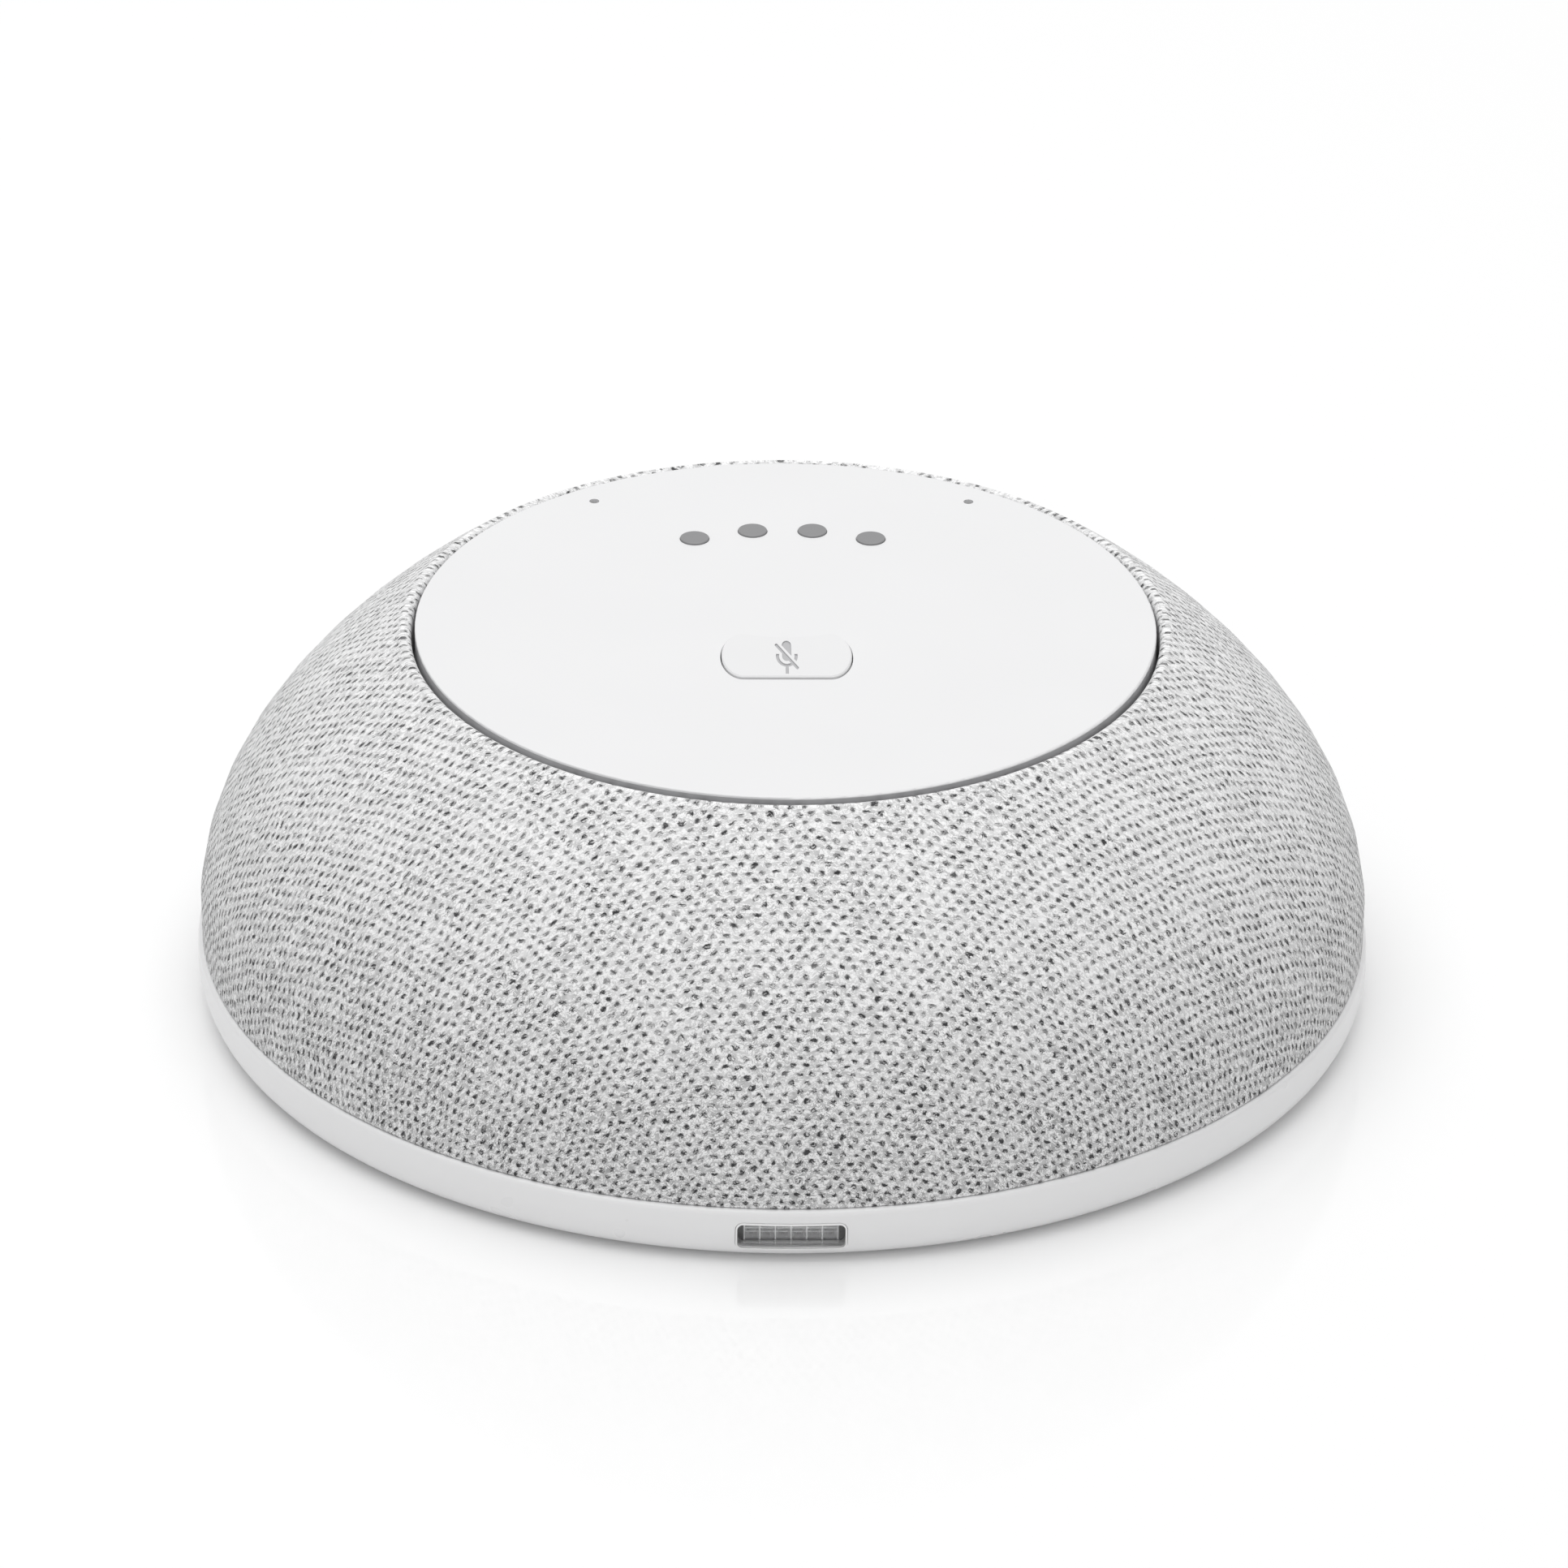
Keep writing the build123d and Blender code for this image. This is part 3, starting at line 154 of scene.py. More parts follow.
def mouldedPlastic(name, colour, rough=0.35, grain=0.12, depth=0.004, tint=0.04, specular=0.5, coat=0.0):
    material, tree, shader = startMaterial(name)
    spot = objectSpot(tree)
    cloud = noise(tree, spot, 60, 3)
    fine = noise(tree, spot, 1000 / grain, 2)
    dress(tree, shader,
          blendColour(tree, cloud, shade(colour, 1 - tint), shade(colour, 1 + tint)),
          vary(tree, cloud, rough * 0.88, rough * 1.14),
          bump(tree, fine, depth / 1000))
    shader.inputs["Specular IOR Level"].default_value = specular
    shader.inputs["Coat Weight"].default_value = coat
    shader.inputs["Coat Roughness"].default_value = 0.08
    return material


def workedMetal(name, colour, rough=0.3, stretch=(1, 1, 12), grain=0.15, depth=0.003, tint=0.12,
                metallic=1.0):
    material, tree, shader = startMaterial(name)
    spot = objectSpot(tree)
    lines = noise(tree, place(tree, spot, stretch), 1000 / grain / max(stretch), 3, 0.6)
    stain = noise(tree, spot, 180, 4, 0.6)
    dull = shade(colour, 1 - tint)
    body = blendColour(tree, spread(tree, stain, 0.3, 0.75), shade(colour, 1 + tint / 2), dull)
    dress(tree, shader,
          blendColour(tree, spread(tree, lines, 0.35, 0.7, 0, 0.5), body, dull),
          spread(tree, lines, 0.25, 0.75, rough * 0.75, rough * 1.3),
          bump(tree, lines, depth / 1000))
    shader.inputs["Metallic"].default_value = metallic
    return material


def softRubber(name, colour, rough=0.65, cell=0.35, depth=0.02, tint=0.15):
    material, tree, shader = startMaterial(name)  # small closed cells or a matt rubber skin
    spot = objectSpot(tree)
    cells = addNode(tree, "TexVoronoi", {"Vector": spot, "Scale": 1000 / cell}).outputs["Distance"]
    dust = noise(tree, spot, 220, 4)
    dusted = spread(tree, dust, 0.35, 0.7)
    dress(tree, shader,
          blendColour(tree, dusted, shade(colour, 1 - tint), shade(colour, 1 + tint)),
          vary(tree, dust, rough * 0.9, min(1.0, rough * 1.15)),
          bump(tree, cells, depth / 1000))
    shader.inputs["Specular IOR Level"].default_value = 0.35
    return material


def bands(tree, spot, scale, direction, **inputs):
    inputs = {"Vector": spot, "Scale": scale, **inputs}
    return addNode(tree, "TexWave", inputs, bands_direction=direction).outputs["Fac"]


def circuitBoard(name, mask, track, pitch=1.6):
    material, tree, shader = startMaterial(name)  # solder mask over copper tracks and vias
    spot = objectSpot(tree)
    blocks = addNode(tree, "TexVoronoi", {"Vector": spot, "Scale": 1000 / (pitch * 4), "Randomness": 0.8},
                     distance="CHEBYCHEV").outputs["Distance"]
    lines = bands(tree, spot, 1000 / (pitch * 6.3), "DIAGONAL", Distortion=2.0, Detail=0.0)
    tracks = math2(tree, "MULTIPLY", spread(tree, lines, 0.62, 0.7), spread(tree, blocks, 0.5, 0.3))
    vias = addNode(tree, "TexVoronoi", {"Vector": spot, "Scale": 1000 / (pitch * 1.7)}).outputs["Distance"]
    hole = spread(tree, vias, 0.16, 0.13)
    skin = blendColour(tree, tracks, mask, track)
    dress(tree, shader,
          blendColour(tree, hole, skin, (0.75, 0.72, 0.62, 1)),
          vary(tree, noise(tree, spot, 400), 0.3, 0.42),
          bump(tree, math2(tree, "ADD", tracks, hole), 0.00003))
    return material


def wovenCloth(name, colour, pitch=0.6, rough=0.7):
    material, tree, shader = startMaterial(name)  # plain weave
    spot = objectSpot(tree)
    warp = bands(tree, spot, 1000 / (pitch * 6.3), "X")
    weft = bands(tree, spot, 1000 / (pitch * 6.3), "Y")
    weave = math2(tree, "MULTIPLY", warp, weft)
    dress(tree, shader,
          blendColour(tree, weave, shade(colour, 0.6), shade(colour, 1.1)),
          vary(tree, noise(tree, spot, 300), rough * 0.9, rough * 1.1),
          bump(tree, weave, 0.00005))
    return material


def clearPlastic(name, tintColour, rough=0.03):
    material, tree, shader = startMaterial(name)
    flow = noise(tree, objectSpot(tree), 300, 2)
    dress(tree, shader,
          blendColour(tree, flow, shade(tintColour, 0.97), tintColour),
          vary(tree, flow, rough * 0.7, rough * 1.4),
          bump(tree, flow, 0.000004))
    shader.inputs["Transmission Weight"].default_value = 1.0
    shader.inputs["IOR"].default_value = 1.4
    shader.inputs["Alpha"].default_value = 0.35
    return material


# painted shade: the reflector is coloured dark around its cells, where shade falls inside the window
windowPaintedShade = {
    "side": (0.0006, 0.0008),       # where the painted shade starts and is full, beyond the outer lights
    "above": (0.00142, 0.00152),    # the same, up and down from the middle
    "dark": 0.06,
    "metallic": 0.25,               # of the bright cells
}


def reflectorWithPaintedShade(name, colour, rough):
    material, tree, shader = startMaterial(name)  # bright cells inside a frame of painted shade
    spot = objectSpot(tree)
    low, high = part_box("window_leds")
    centre = (low + high) / 2
    reach = (high.x - low.x) / 2
    parts = addNode(tree, "SeparateXYZ", {0: place(tree, spot, location=tuple(-centre))})
    start, full = windowPaintedShade["side"]
    side = spread(tree, math2(tree, "ABSOLUTE", parts.outputs[0]), reach + start, reach + full)
    above = spread(tree, math2(tree, "ABSOLUTE", parts.outputs[2]), *windowPaintedShade["above"])
    paintedWindowShade = math2(tree, "MAXIMUM", side, above)
    ripple = noise(tree, spot, 2600, 3)
    silver = blendColour(tree, ripple, shade(colour, 0.9), shade(colour, 1.08))
    dress(tree, shader,
          blendColour(tree, paintedWindowShade, silver, grey(windowPaintedShade["dark"])),
          vary(tree, ripple, rough * 0.7, rough * 1.4),
          bump(tree, ripple, 0.000012))
    tree.links.new(spread(tree, paintedWindowShade, 0, 1, windowPaintedShade["metallic"], 0.0), shader.inputs["Metallic"])
    return material


buttonMark = {
    "sunk": (0.00005, 0.00012),     # depth at which the painted shade starts and is full
    "halfWidth": (0.0035, 0.0033),  # from the button's middle: none, and full painted shade
    "halfDepth": (0.0048, 0.0046),
}


def markedButton(name, colour, recessShadeGrey):
    material = mouldedPlastic(name, colour, 0.36, 0.1, 0.0012, 0.006, 0.45, 0.1)
    tree = material.node_tree  # the sunk mark is coloured grey: painted shade in the recess
    shader = tree.nodes["Principled BSDF"]
    low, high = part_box("mute_button")
    centre = (low + high) / 2
    parts = addNode(tree, "SeparateXYZ", {0: objectSpot(tree)})
    start, full = buttonMark["sunk"]
    sunk = spread(tree, parts.outputs[2], high.z - start, high.z - full)
    fromMiddle = math2(tree, "ABSOLUTE", math2(tree, "SUBTRACT", parts.outputs[0], centre.x))
    inside = spread(tree, fromMiddle, *buttonMark["halfWidth"])
    fromMiddle = math2(tree, "ABSOLUTE", math2(tree, "SUBTRACT", parts.outputs[1], centre.y))
    middle = spread(tree, fromMiddle, *buttonMark["halfDepth"])
    # painted shade: grey laid into the sunk mark, where shade falls in the recess
    paintedRecessShade = math2(tree, "MULTIPLY", math2(tree, "MULTIPLY", sunk, inside), middle)
    body = shader.inputs["Base Color"].links[0].from_socket
    tree.links.new(blendColour(tree, paintedRecessShade, body, recessShadeGrey + (1,)), shader.inputs["Base Color"])
    return material


finishes = {
    "foot_rubber": softRubber("rubberFoot", (0.3, 0.3, 0.31), 0.7, 0.5, 0.03),
    "base_white": mouldedPlastic("whiteBase", (0.9, 0.9, 0.905), 0.3, 0.09, 0.0012, 0.008, 0.5, 0.15),
    "screw_steel": workedMetal("zincScrew", (0.6, 0.6, 0.61), 0.32, (1, 1, 6)),
    "bezel_white": mouldedPlastic("whiteBezel", (0.93, 0.93, 0.93), 0.22, 0.08, 0.0008, 0.008, 0.5, 0.3),
    "lens_clear": clearPlastic("clearLens", (0.97, 0.975, 0.98, 1)),
    "reflector_silver": reflectorWithPaintedShade("silverReflector", (0.93, 0.93, 0.94), 0.2),
    "led_board_white": mouldedPlastic("whiteSolderMask", (0.82, 0.83, 0.8), 0.45, 0.2, 0.004, 0.05),
    "led_body": mouldedPlastic("ledResin", (0.12, 0.12, 0.11), 0.2, 0.3, 0.002, 0.06, 0.5, 0.5),
    "port_steel": workedMetal("drawnSteel", (0.7, 0.7, 0.71), 0.28, (12, 1, 1)),
    "port_tongue": mouldedPlastic("blackTongue", (0.03, 0.03, 0.03), 0.45, 0.15, 0.006),
    "board_green": circuitBoard("greenBoard", (0.02, 0.16, 0.08, 1), (0.05, 0.32, 0.16, 1)),
    "shield_tin": workedMetal("tinnedSheet", (0.72, 0.72, 0.7), 0.35, (10, 1, 1), 0.2, 0.003),
    "pad_blue": softRubber("bluePad", (0.33, 0.44, 0.6), 0.75, 0.3, 0.03),
    "spreader_aluminium": workedMetal("rolledAluminium", (0.8, 0.81, 0.82), 0.34, (14, 1, 1), 0.18, 0.003),
    "capacitor_can": workedMetal("capacitorCan", (0.76, 0.76, 0.78), 0.25, (1, 1, 10)),
    "antenna_copper": workedMetal("antennaCopper", (0.8, 0.45, 0.27), 0.35, (1, 8, 1)),
    "enclosure_black": mouldedPlastic("blackEnclosure", (0.035, 0.035, 0.037), 0.5, 0.35, 0.02, 0.15),
    "seal_foam": softRubber("foamSeal", (0.05, 0.05, 0.052), 0.95, 0.45, 0.12, 0.3),
    "basket_black": mouldedPlastic("powderCoat", (0.04, 0.04, 0.042), 0.48, 0.5, 0.03, 0.15),
    "magnet_steel": workedMetal("zincPlate", (0.6, 0.59, 0.55), 0.36, (1, 1, 1), 0.4, 0.004, 0.2),
    "ferrite_black": workedMetal("groundFerrite", (0.05, 0.05, 0.055), 0.6, (10, 1, 1), 0.3, 0.008, 0.3, 0.2),
    "spider_cloth": wovenCloth("resinCloth", (0.55, 0.36, 0.13, 1)),
    "surround_rubber": softRubber("rollRubber", (0.02, 0.02, 0.021), 0.5, 0.6, 0.006, 0.2),
    "terminal_brown": mouldedPlastic("brownLaminate", (0.25, 0.12, 0.05), 0.5, 0.3, 0.01, 0.2),
    "coil_copper": workedMetal("enamelledCopper", (0.75, 0.33, 0.14), 0.25, (1, 1, 30), 0.12, 0.02),
    "cone_paper": mouldedPlastic("pulpCone", (0.05, 0.05, 0.052), 0.75, 0.8, 0.05, 0.35),
    "lead_jacket": softRubber("redLead", (0.5, 0.03, 0.025), 0.45, 0.4, 0.005),
    "plug_white": mouldedPlastic("whitePlug", (0.84, 0.82, 0.76), 0.4, 0.2, 0.006, 0.05),
    "ribbon_film": wovenCloth("ribbonFilm", (0.7, 0.72, 0.76, 1), 0.5, 0.35),
    "grille_grey": mouldedPlastic("greyShell", (0.28, 0.28, 0.29), 0.5, 0.3, 0.01, 0.08),
    "cover_white": mouldedPlastic("whiteCover", (0.79, 0.79, 0.795), 0.42, 0.1, 0.0015, 0.006, 0.4),
    # painted shade: the narrow side wall under the cover is coloured grey, as white plastic looks in its
    # shade
    "trim_grey": mouldedPlastic("trimGreyPaintedShade", (0.42, 0.42, 0.43), 0.4, 0.12, 0.003, 0.03),
    "baffle_black": mouldedPlastic("blackBaffle", (0.02, 0.02, 0.02), 0.55, 0.2, 0.01, 0.2),
    "light_grey": mouldedPlastic("smokedDiffuser", (0.235, 0.235, 0.24), 0.35, 0.15, 0.002, 0.04, 0.5, 0.2),
    "capsule_metal": workedMetal("nickelCan", (0.74, 0.72, 0.67), 0.3, (1, 1, 8)),
    "button_white": markedButton("whiteButton", (0.78, 0.78, 0.785), (0.46, 0.46, 0.47)),
}
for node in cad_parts.values():
    for materialSlot in node.material_slots:
        finish = finishes.get(materialSlot.material.name.split(".")[0])
        if finish is not None:
            materialSlot.material = finish
print("finishes given to the fixed parts")


# the knitted cover; lengths in metres unless marked
knit = {
    "thickness": 0.00085,
    "sectionSteps": 10,
    "weld": 0.00001,
    "smoothAngle": 50,
    "handle": 0.001,           # of the section's straight ends
    "arcHandle": 0.55,         # of a quarter arc, per radius
    "seamRadius": 0.06945,     # outer face where the cloth meets the rim
    "hemReach": 0.0045,        # cloth turned under the shell at the seam
    "seamRound": 0.00045,
    "lean": 6.7,               # degrees from upright at the seam
    "slope": 35.8,             # degrees from level at the top edge
    "lowReach": 0.47,
    "highReach": 0.485,
    "edgeRound": 0.0009,
    "edgeGap": 0.0013,         # from the cover's rim to the turn of the shell
    "tuckDepth": 0.0042,
    "turns": 384,
    "flatDiameter": 0.19,
    "flatHole": 0.084,
    "stretch": 0.82,           # cloth used per length of section
    "topShare": 0.97,          # flat radius of the top edge, per its real radius
    "topRadius": 0.0455,       # the visible section lies beyond this radius
    "seamHeight": 0.0075,      # and above this height
    "underHeight": 0.0078,     # the cloth turned under lies below this height
    "underRadius": 0.069,      # and inside this radius
    "tuckRadius": 0.0452,      # the cloth tucked under the cover lies inside this radius
    "mapSpan": 0.2,            # side of the flat cloth that the UV map covers
    "column": 0.83,            # half a stitch across, millimetres
    "row": 0.85,               # one row, millimetres
    "pocket": (0.21, 0.12),    # half size of the hollow in a stitch, millimetres
    "fleckLeast": 0.66,        # how strongly the dark hairs show in the palest and greyest patches
    "fleckMost": 1.0,
    "paintedSeamShade": 0.4,            # painted shade: how much darker the cloth gets towards the seam
    "paintedSeamShadeReach": (58, 83),  # flat radius where that starts and is full, millimetres
    "drift": 1.1,              # how far the rows wander, millimetres
    "wobble": 0.5,             # how far single stitches wander, millimetres
    "hairWidth": 0.045,
    "ribShade": 0.07,
    "pale": (0.97, 0.97, 0.972, 1),
    "dark": (0.06, 0.06, 0.063, 1),
    # colour of the painted shade in the stitch hollows
    "hollow": (0.05, 0.05, 0.053, 1),
}


def sectionPoints():
    # points of the cover's section as (radius, height) with the handle before and after each
    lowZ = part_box("fabric_cover")[0].z
    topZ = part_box("fabric_cover")[1].z
    edge = Vector((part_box("top_cover")[1].x + knit["edgeGap"], topZ - knit["edgeRound"]))
    rise = edge.y - lowZ
    run = knit["seamRadius"] - edge.x
    lean = math.radians(knit["lean"])
    slope = math.radians(knit["slope"])
    away = Vector((math.sin(slope), math.cos(slope)))
    down = Vector((math.cos(slope), -math.sin(slope)))
    up = Vector((math.sin(lean), math.cos(lean)))
    seam = Vector((knit["seamRadius"], lowZ))
    corner = seam + up * knit["seamRound"]
    crest = edge + away * knit["edgeRound"]
    bend = knit["edgeRound"] * knit["arcHandle"]
    turn = bend * (90 - knit["slope"]) / 90
    inner = Vector((edge.x - knit["edgeRound"], edge.y))
    top = Vector((edge.x, topZ))
    side = Vector((1, 0))
    upright = Vector((0, 1))
    small = knit["seamRound"] * knit["arcHandle"]
    heel = seam - side * knit["seamRound"]
    toe = seam - side * knit["hemReach"]
    handle = knit["handle"]
    tuck = inner - upright * knit["tuckDepth"]
    return [
        (toe, toe, toe + side * handle),
        (heel, heel - side * handle, heel + side * small),
        (corner, corner - up * small,
         corner + up * (knit["lowReach"] * rise - knit["seamRound"])),
        (crest, crest + down * knit["highReach"] * run, crest - down * turn),
        (top, top + side * turn, top - side * bend),
        (inner, inner + upright * bend, inner - upright * handle),
        (tuck, inner - upright * (knit["tuckDepth"] - handle), tuck),
    ]


def wander(tree, where, scale, detail, amount):
    inputs = {"Vector": where, "Scale": scale, "Detail": detail}
    colour = addNode(tree, "TexNoise", inputs, noise_dimensions="2D").outputs["Color"]
    centred = vectorMath(tree, "SUBTRACT", colour, (0.5, 0.5, 0.5))
    return addNode(tree, "VectorMath", {0: centred, "Scale": amount}, operation="SCALE").outputs[0]


def hairLines(tree, cloth, stretch, turn=0.0):
    return noise(tree, place(tree, cloth, stretch, (0, 0, turn)), 1.0, 3, 0.65, 0.8, "2D")


def knitMaterial():
    material, tree, shader = startMaterial("mottledKnit")
    uv = addNode(tree, "UVMap", uv_map="cloth").outputs[0]
    span = knit["mapSpan"] * 1000
    flat = place(tree, uv, (span, span, 1), location=(-span / 2, -span / 2, 0))  # millimetres of flat cloth
    drift = wander(tree, flat, 0.22, 1.0, knit["drift"])
    wobble = wander(tree, flat, 1.3, 2.0, knit["wobble"])
    cloth = vectorMath(tree, "ADD", flat, drift)
    cloth = vectorMath(tree, "ADD", cloth, wobble)

    # one cell to a stitch, its neighbours set half a stitch over in the next row
    parts = addNode(tree, "SeparateXYZ", {0: cloth})
    across = math2(tree, "DIVIDE", parts.outputs[0], knit["column"] * 2)
    along = math2(tree, "DIVIDE", parts.outputs[1], knit["row"] * 2)
    stitch = combine(tree, math2(tree, "ADD", across, along), math2(tree, "SUBTRACT", along, across))
    inputs = {"Vector": stitch, "Scale": 1.0, "Randomness": 0.14}
    cell = addNode(tree, "TexVoronoi", inputs, voronoi_dimensions="2D")
    odd = addNode(tree, "SeparateColor", {0: cell.outputs["Color"]}).outputs[0]
    offset = vectorMath(tree, "SUBTRACT", stitch, cell.outputs["Position"])
    offset = addNode(tree, "SeparateXYZ", {0: offset})
    slant = math2(tree, "SUBTRACT", offset.outputs[0], offset.outputs[1])
    fromLeft = math2(tree, "MULTIPLY", slant, knit["column"])
    slant = math2(tree, "ADD", offset.outputs[0], offset.outputs[1])
    fromBelow = math2(tree, "MULTIPLY", slant, knit["row"])

    # the oval hollow in each stitch, and the hairs that fan out from it
    pocketWide, pocketHigh = knit["pocket"]
    oval = combine(tree, math2(tree, "DIVIDE", fromLeft, pocketWide),
                   math2(tree, "DIVIDE", fromBelow, pocketHigh))
    reach = vectorLength(tree, oval)
    raised = spread(tree, reach, 0.6, 2.6)
    core = spread(tree, reach, 1.5, 0.5, 0.0, 1.0)
    turn = math2(tree, "ARCTAN2", fromBelow, fromLeft)
    ray = combine(tree, math2(tree, "MULTIPLY", turn, 2.6), math2(tree, "MULTIPLY", reach, 0.5),
                  math2(tree, "MULTIPLY", odd, 40))
    rays = noise(tree, ray, 1.0, 2, 0.6)

    # dark hairs along the rows and slanting both ways across them
    hairs = hairLines(tree, cloth, (1.0, 3.0, 1))
    slanted = hairLines(tree, cloth, (1.1, 2.9, 1), 0.6)
    crossed = hairLines(tree, cloth, (1.1, 2.9, 1), -0.6)
    width = knit["hairWidth"]
    level = spread(tree, hairs, 0.53, 0.53 + width)
    sloping = math2(tree, "MAXIMUM", spread(tree, slanted, 0.57, 0.57 + width),
                    spread(tree, crossed, 0.57, 0.57 + width))
    dark = math2(tree, "MAXIMUM", level, sloping)
    dark = math2(tree, "MAXIMUM", dark, spread(tree, rays, 0.53, 0.61))

    # how dark they are: cloudy patches, ribs and painted shade that darkens the cloth towards the seam
    cloud = noise(tree, flat, 0.16, 3, 0.6, 0.0, "2D")
    patch = spread(tree, noise(tree, flat, 0.75, 2, 0.6, 0.0, "2D"), 0.36, 0.64, -0.22, 0.16)
    ribTurn = math2(tree, "MULTIPLY", math2(tree, "SUBTRACT", along, across), 2 * math.pi)
    rib = math2(tree, "SINE", ribTurn)
    depthOfGrey = math2(tree, "ADD", vary(tree, cloud, knit["fleckLeast"], knit["fleckMost"]),
                        math2(tree, "MULTIPLY", rib, knit["ribShade"]))
    # painted shade: the cloth is coloured darker down the side towards the seam and on the hem turned under
    # it
    bandStart, bandFull = knit["paintedSeamShadeReach"]
    paintedSeamShade = spread(tree, vectorLength(tree, flat), bandStart, bandFull, 0.0, knit["paintedSeamShade"])
    depthOfGrey = math2(tree, "ADD", math2(tree, "ADD", depthOfGrey, paintedSeamShade), patch)
    flecks = math2(tree, "MULTIPLY", depthOfGrey, spread(tree, raised, 0.35, 1.0, 1.0, 0.4))
    flecks = math2(tree, "MULTIPLY", dark, flecks)
    yarn = blendColour(tree, flecks, knit["pale"], knit["dark"])
    # painted shade: the core of each stitch's hollow is coloured dark, by a random amount per stitch
    hollow = math2(tree, "MULTIPLY", core, spread(tree, odd, 0.0, 1.0, 0.1, 0.85, False))
    colour = blendColour(tree, hollow, yarn, knit["hollow"])
    roughness = vary(tree, hairs, 0.75, 0.95)
    loops = bump(tree, raised, 0.00025)
    normal = bump(tree, math2(tree, "ADD", slanted, rays), 0.00008, 1.0, loops)
    dress(tree, shader, colour, roughness, normal)
    shader.inputs["Specular IOR Level"].default_value = 0.25
    shader.inputs["Sheen Weight"].default_value = 0.15
    shader.inputs["Sheen Roughness"].default_value = 0.5
    return material


def makeKnitCover():
    bpy.ops.object.select_all(action="DESELECT")
    bpy.ops.curve.primitive_bezier_curve_add(location=(0, 0, 0))
    curve = bpy.context.object
    curve.name = "knitCover"
    points = sectionPoints()
    spline = curve.data.splines[0]
    spline.bezier_points.add(len(points) - len(spline.bezier_points))
    for point, (middle, before, after) in zip(spline.bezier_points, points):
        point.handle_left_type = "FREE"
        point.handle_right_type = "FREE"
        point.co = (middle.x, 0, middle.y)
        point.handle_left = (before.x, 0, before.y)
        point.handle_right = (after.x, 0, after.y)
    curve.data.resolution_u = knit["sectionSteps"]
    bpy.ops.object.convert(target="MESH")
    cover = bpy.context.object
    bpy.ops.object.mode_set(mode="EDIT")
    bpy.ops.mesh.select_all(action="SELECT")
    bpy.ops.mesh.remove_doubles(threshold=knit["weld"])
    bpy.ops.mesh.spin(steps=knit["turns"], angle=2 * math.pi, center=(0, 0, 0), axis=(0, 0, 1))
    bpy.ops.mesh.select_all(action="SELECT")
    bpy.ops.mesh.remove_doubles(threshold=knit["weld"])
    bpy.ops.mesh.normals_make_consistent(inside=False)
    bpy.ops.object.mode_set(mode="OBJECT")
    mesh = cover.data
    widest = max(mesh.polygons, key=lambda face: face.center.xy.length)
    if widest.normal.dot(Vector((widest.center.x, widest.center.y, 0))) < 0:
        mesh.flip_normals()
    layClothOnMesh(mesh)
    modifier = cover.modifiers.new("thickness", "SOLIDIFY")
    modifier.thickness = knit["thickness"]
    modifier.offset = -1
    bpy.ops.object.modifier_apply(modifier=modifier.name)
    bpy.ops.object.shade_smooth_by_angle(angle=math.radians(knit["smoothAngle"]))
    cover.data.materials.clear()
    cover.data.materials.append(knitMaterial())
    return cover


def layClothOnMesh(mesh):
    # each point takes its place on the flat cloth: its distance from the middle is counted down the section
    places = np.array([vertex.co for vertex in mesh.vertices])
    radius = np.hypot(places[:, 0], places[:, 1])
    visible = [(z, r) for r, z in zip(radius, places[:, 2])
               if r > knit["topRadius"] and z > knit["seamHeight"]]
    order = sorted({(round(float(z), 7), round(float(r), 7)) for z, r in visible}, reverse=True)
    heights = np.array([z for z, r in order])
    radii = np.array([r for z, r in order])
    steps = np.hypot(np.diff(heights), np.diff(radii))
    used = np.concatenate([[0], np.cumsum(steps)]) * knit["stretch"]
    cut = radii[0] * knit["topShare"] + used
    reach = np.interp(-places[:, 2], -heights, cut)
    under = (places[:, 2] < knit["underHeight"]) & (radius < knit["underRadius"])
    reach = np.where(under, cut[-1] + knit["underRadius"] - radius, reach)
    tucked = radius < knit["tuckRadius"]
    reach = np.where(tucked, cut[0] - knit["tuckRadius"] + radius, reach)
    flat = places[:, :2] / radius[:, None] * reach[:, None] / knit["mapSpan"] + 0.5
    layer = mesh.uv_layers.new(name="cloth")
    loops = np.zeros(len(mesh.loops), dtype=np.int32)
    mesh.loops.foreach_get("vertex_index", loops)
    layer.data.foreach_set("uv", flat[loops].astype(np.float32).ravel())


knitCover = makeKnitCover()
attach(knitCover, "housing")
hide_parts("fabric_cover")
print("knitted cover made:", len(knitCover.data.polygons), "faces")


# the snap dome and the spider, copied from the frame parts, welded and smoothed
follow = {
    "domeKeep": 0.35,       # height left in the snap dome when the button is down
    "spiderRise": 0.0019,   # the spider's inner edge above its seat
    "weld": 0.000002,
    "smoothAngle": 40,
}


def softCopy(nodeName, pieceName):
    bpy.ops.object.select_all(action="DESELECT")
    piece = bpy.data.objects.new(pieceName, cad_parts[nodeName].data.copy())
    bpy.context.scene.collection.objects.link(piece)
    piece.select_set(True)
    bpy.context.view_layer.objects.active = piece
    bpy.ops.object.mode_set(mode="EDIT")
    bpy.ops.mesh.select_all(action="SELECT")
    bpy.ops.mesh.remove_doubles(threshold=follow["weld"])
    bpy.ops.object.mode_set(mode="OBJECT")
    bpy.ops.object.shade_smooth_by_angle(angle=math.radians(follow["smoothAngle"]))
    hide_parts(nodeName)
    return piece


snapDome = softCopy("switch_dome", "snapDome")
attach(snapDome, "housing")
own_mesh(snapDome)
spiderCloth = softCopy("driver_spider", "spiderCloth")
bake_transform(spiderCloth)
print("snap dome and spider made")


# floor, light and camera

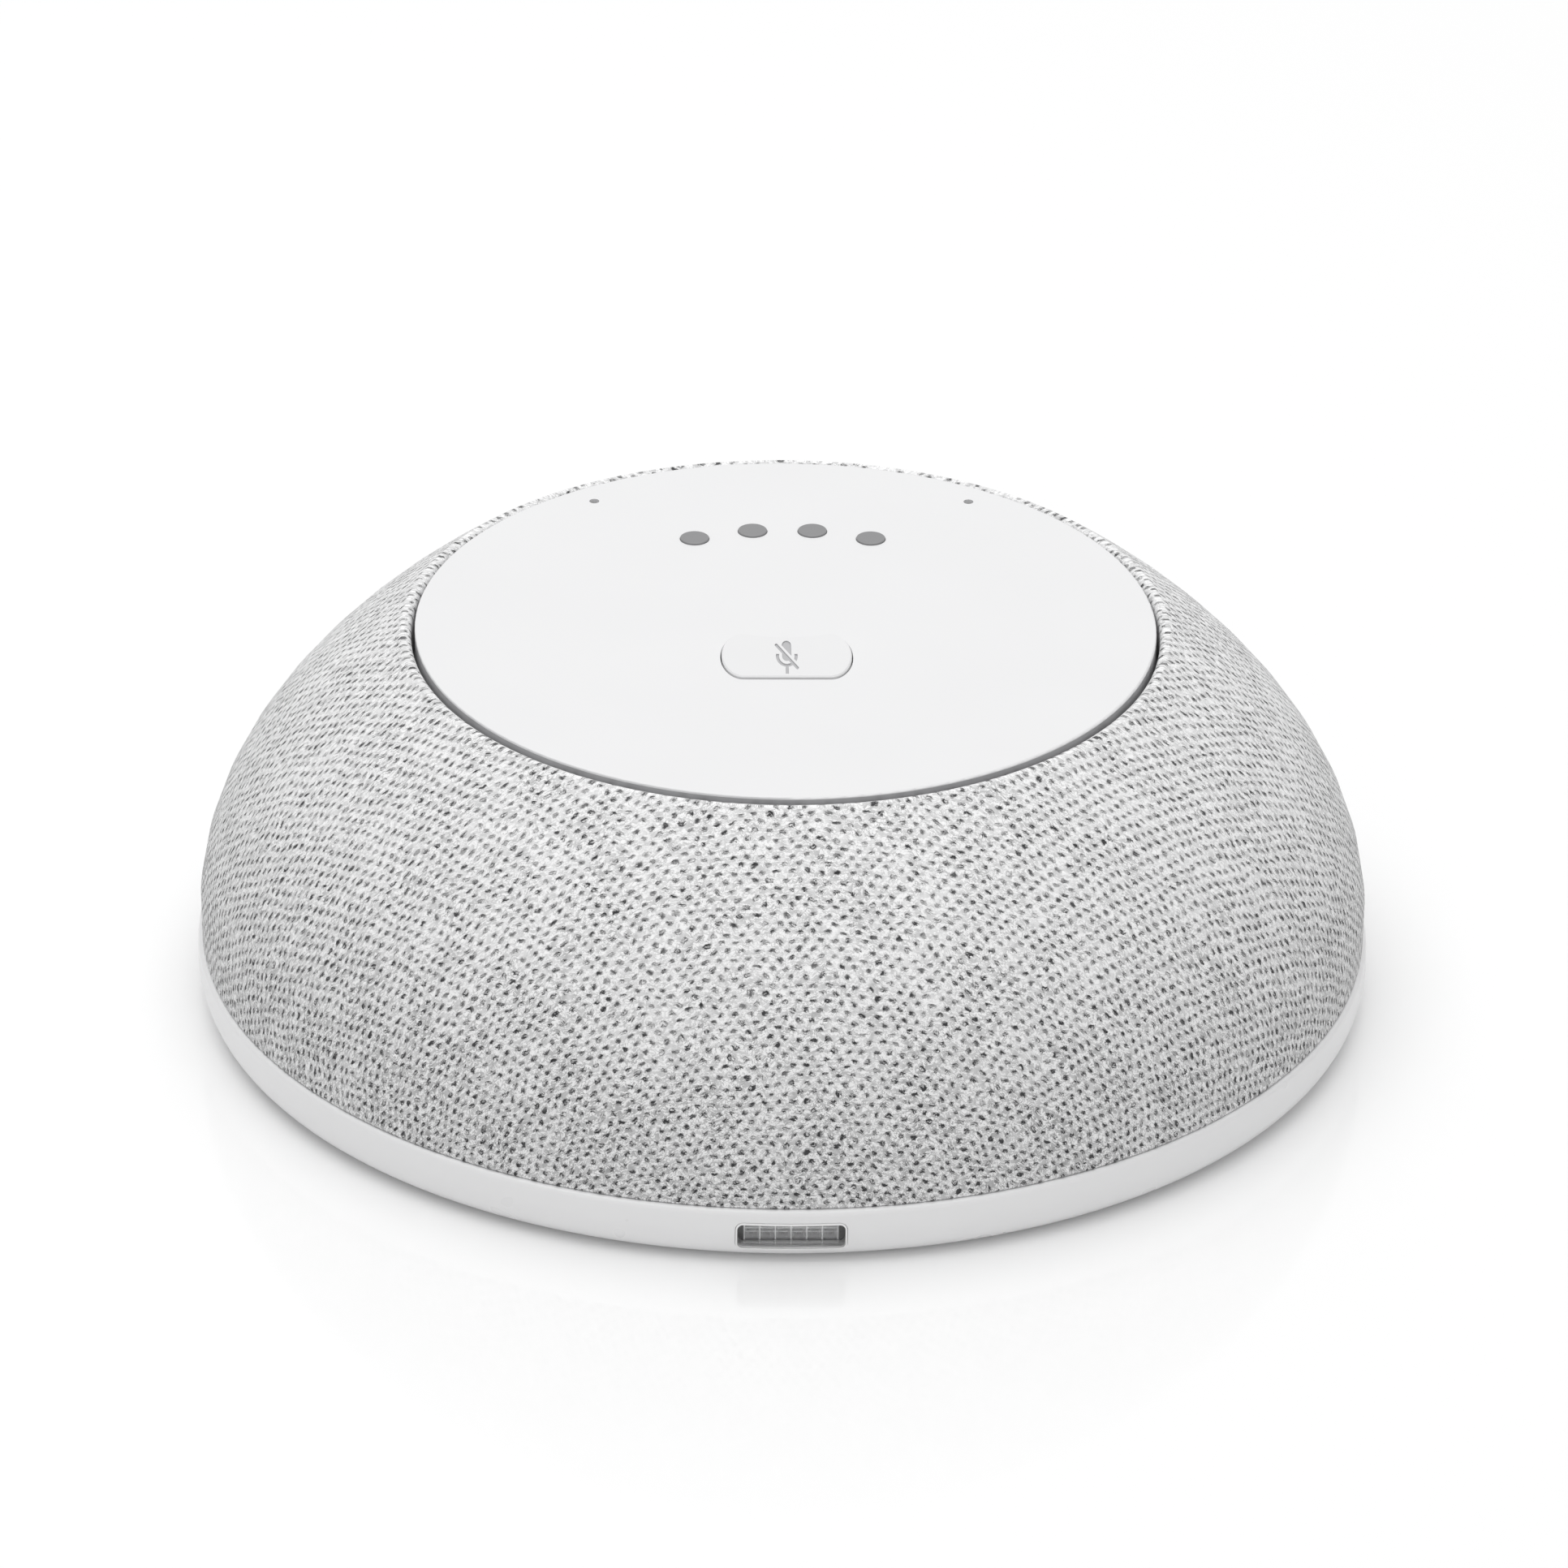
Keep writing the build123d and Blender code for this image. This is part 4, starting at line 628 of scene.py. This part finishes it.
studio = {
    "floorSize": 6.0,
    "floorGrey": 0.88,
    "floorTint": 0.01,
    "floorRough": 0.06,
    "floorGlow": 0.05,
    "skyStrength": 0.74,
    "sideStrength": 0.3,       # the room is dimmer to the left and right
    "boxSize": 1.6,
    "boxPlace": (-0.15, 0.1, 1.5),
    "boxPower": 15.0,
}
camera = {
    "lens": 300,
    "sensor": 36,
    "farthest": 20,
    "distance": 1.558,
    "elevation": 27.5,
    "azimuth": -1.15,
    "roll": 0.6,
    "aimHeight": 0.0264,
}


def makeFloor():
    bpy.ops.object.select_all(action="DESELECT")
    bpy.ops.mesh.primitive_plane_add(size=studio["floorSize"], location=(0, 0, 0))
    floor = bpy.context.object
    floor.name = "floor"
    material, tree, shader = startMaterial("paleFloor")
    cloud = noise(tree, objectSpot(tree), 3)
    paler = grey(studio["floorGrey"] + studio["floorTint"])
    tree.links.new(blendColour(tree, cloud, grey(studio["floorGrey"]), paler), shader.inputs["Base Color"])
    shader.inputs["Roughness"].default_value = studio["floorRough"]
    shader.inputs["Emission Color"].default_value = grey(1.0)
    shader.inputs["Emission Strength"].default_value = studio["floorGlow"]
    floor.data.materials.append(material)


def makeLights():
    world = bpy.data.worlds.new("studioSky")
    world.use_nodes = True
    tree = world.node_tree
    parts = addNode(tree, "SeparateXYZ", {0: addNode(tree, "TexCoord").outputs["Generated"]})
    sideways = math2(tree, "MULTIPLY", parts.outputs[0], parts.outputs[0])
    strength = spread(tree, sideways, 0, 1, studio["skyStrength"], studio["sideStrength"], False)
    tree.nodes["Background"].inputs["Color"].default_value = (1, 1, 1, 1)
    tree.links.new(strength, tree.nodes["Background"].inputs["Strength"])
    bpy.context.scene.world = world
    bpy.ops.object.light_add(type="AREA", location=studio["boxPlace"])
    softbox = bpy.context.object
    softbox.name = "overheadSoftbox"
    softbox.data.size = studio["boxSize"]
    softbox.data.energy = studio["boxPower"]


def makeCamera():
    elevation = math.radians(camera["elevation"])
    azimuth = math.radians(camera["azimuth"])
    level = math.cos(elevation)
    outward = Vector((math.sin(azimuth) * level, -math.cos(azimuth) * level, math.sin(elevation)))
    aim = Vector((0, 0, camera["aimHeight"]))
    data = bpy.data.cameras.new("studioCamera")
    data.lens = camera["lens"]
    data.sensor_width = camera["sensor"]
    data.clip_end = camera["farthest"]
    item = bpy.data.objects.new("studioCamera", data)
    bpy.context.scene.collection.objects.link(item)
    item.location = aim + outward * camera["distance"]
    item.rotation_mode = "QUATERNION"
    roll = Quaternion((0, 0, 1), math.radians(camera["roll"]))
    item.rotation_quaternion = (-outward).to_track_quat("-Z", "Y") @ roll
    bpy.context.scene.camera = item


makeFloor()
makeLights()
makeCamera()
bpy.context.scene.view_settings.view_transform = "Standard"
print("floor, lights and camera ready")
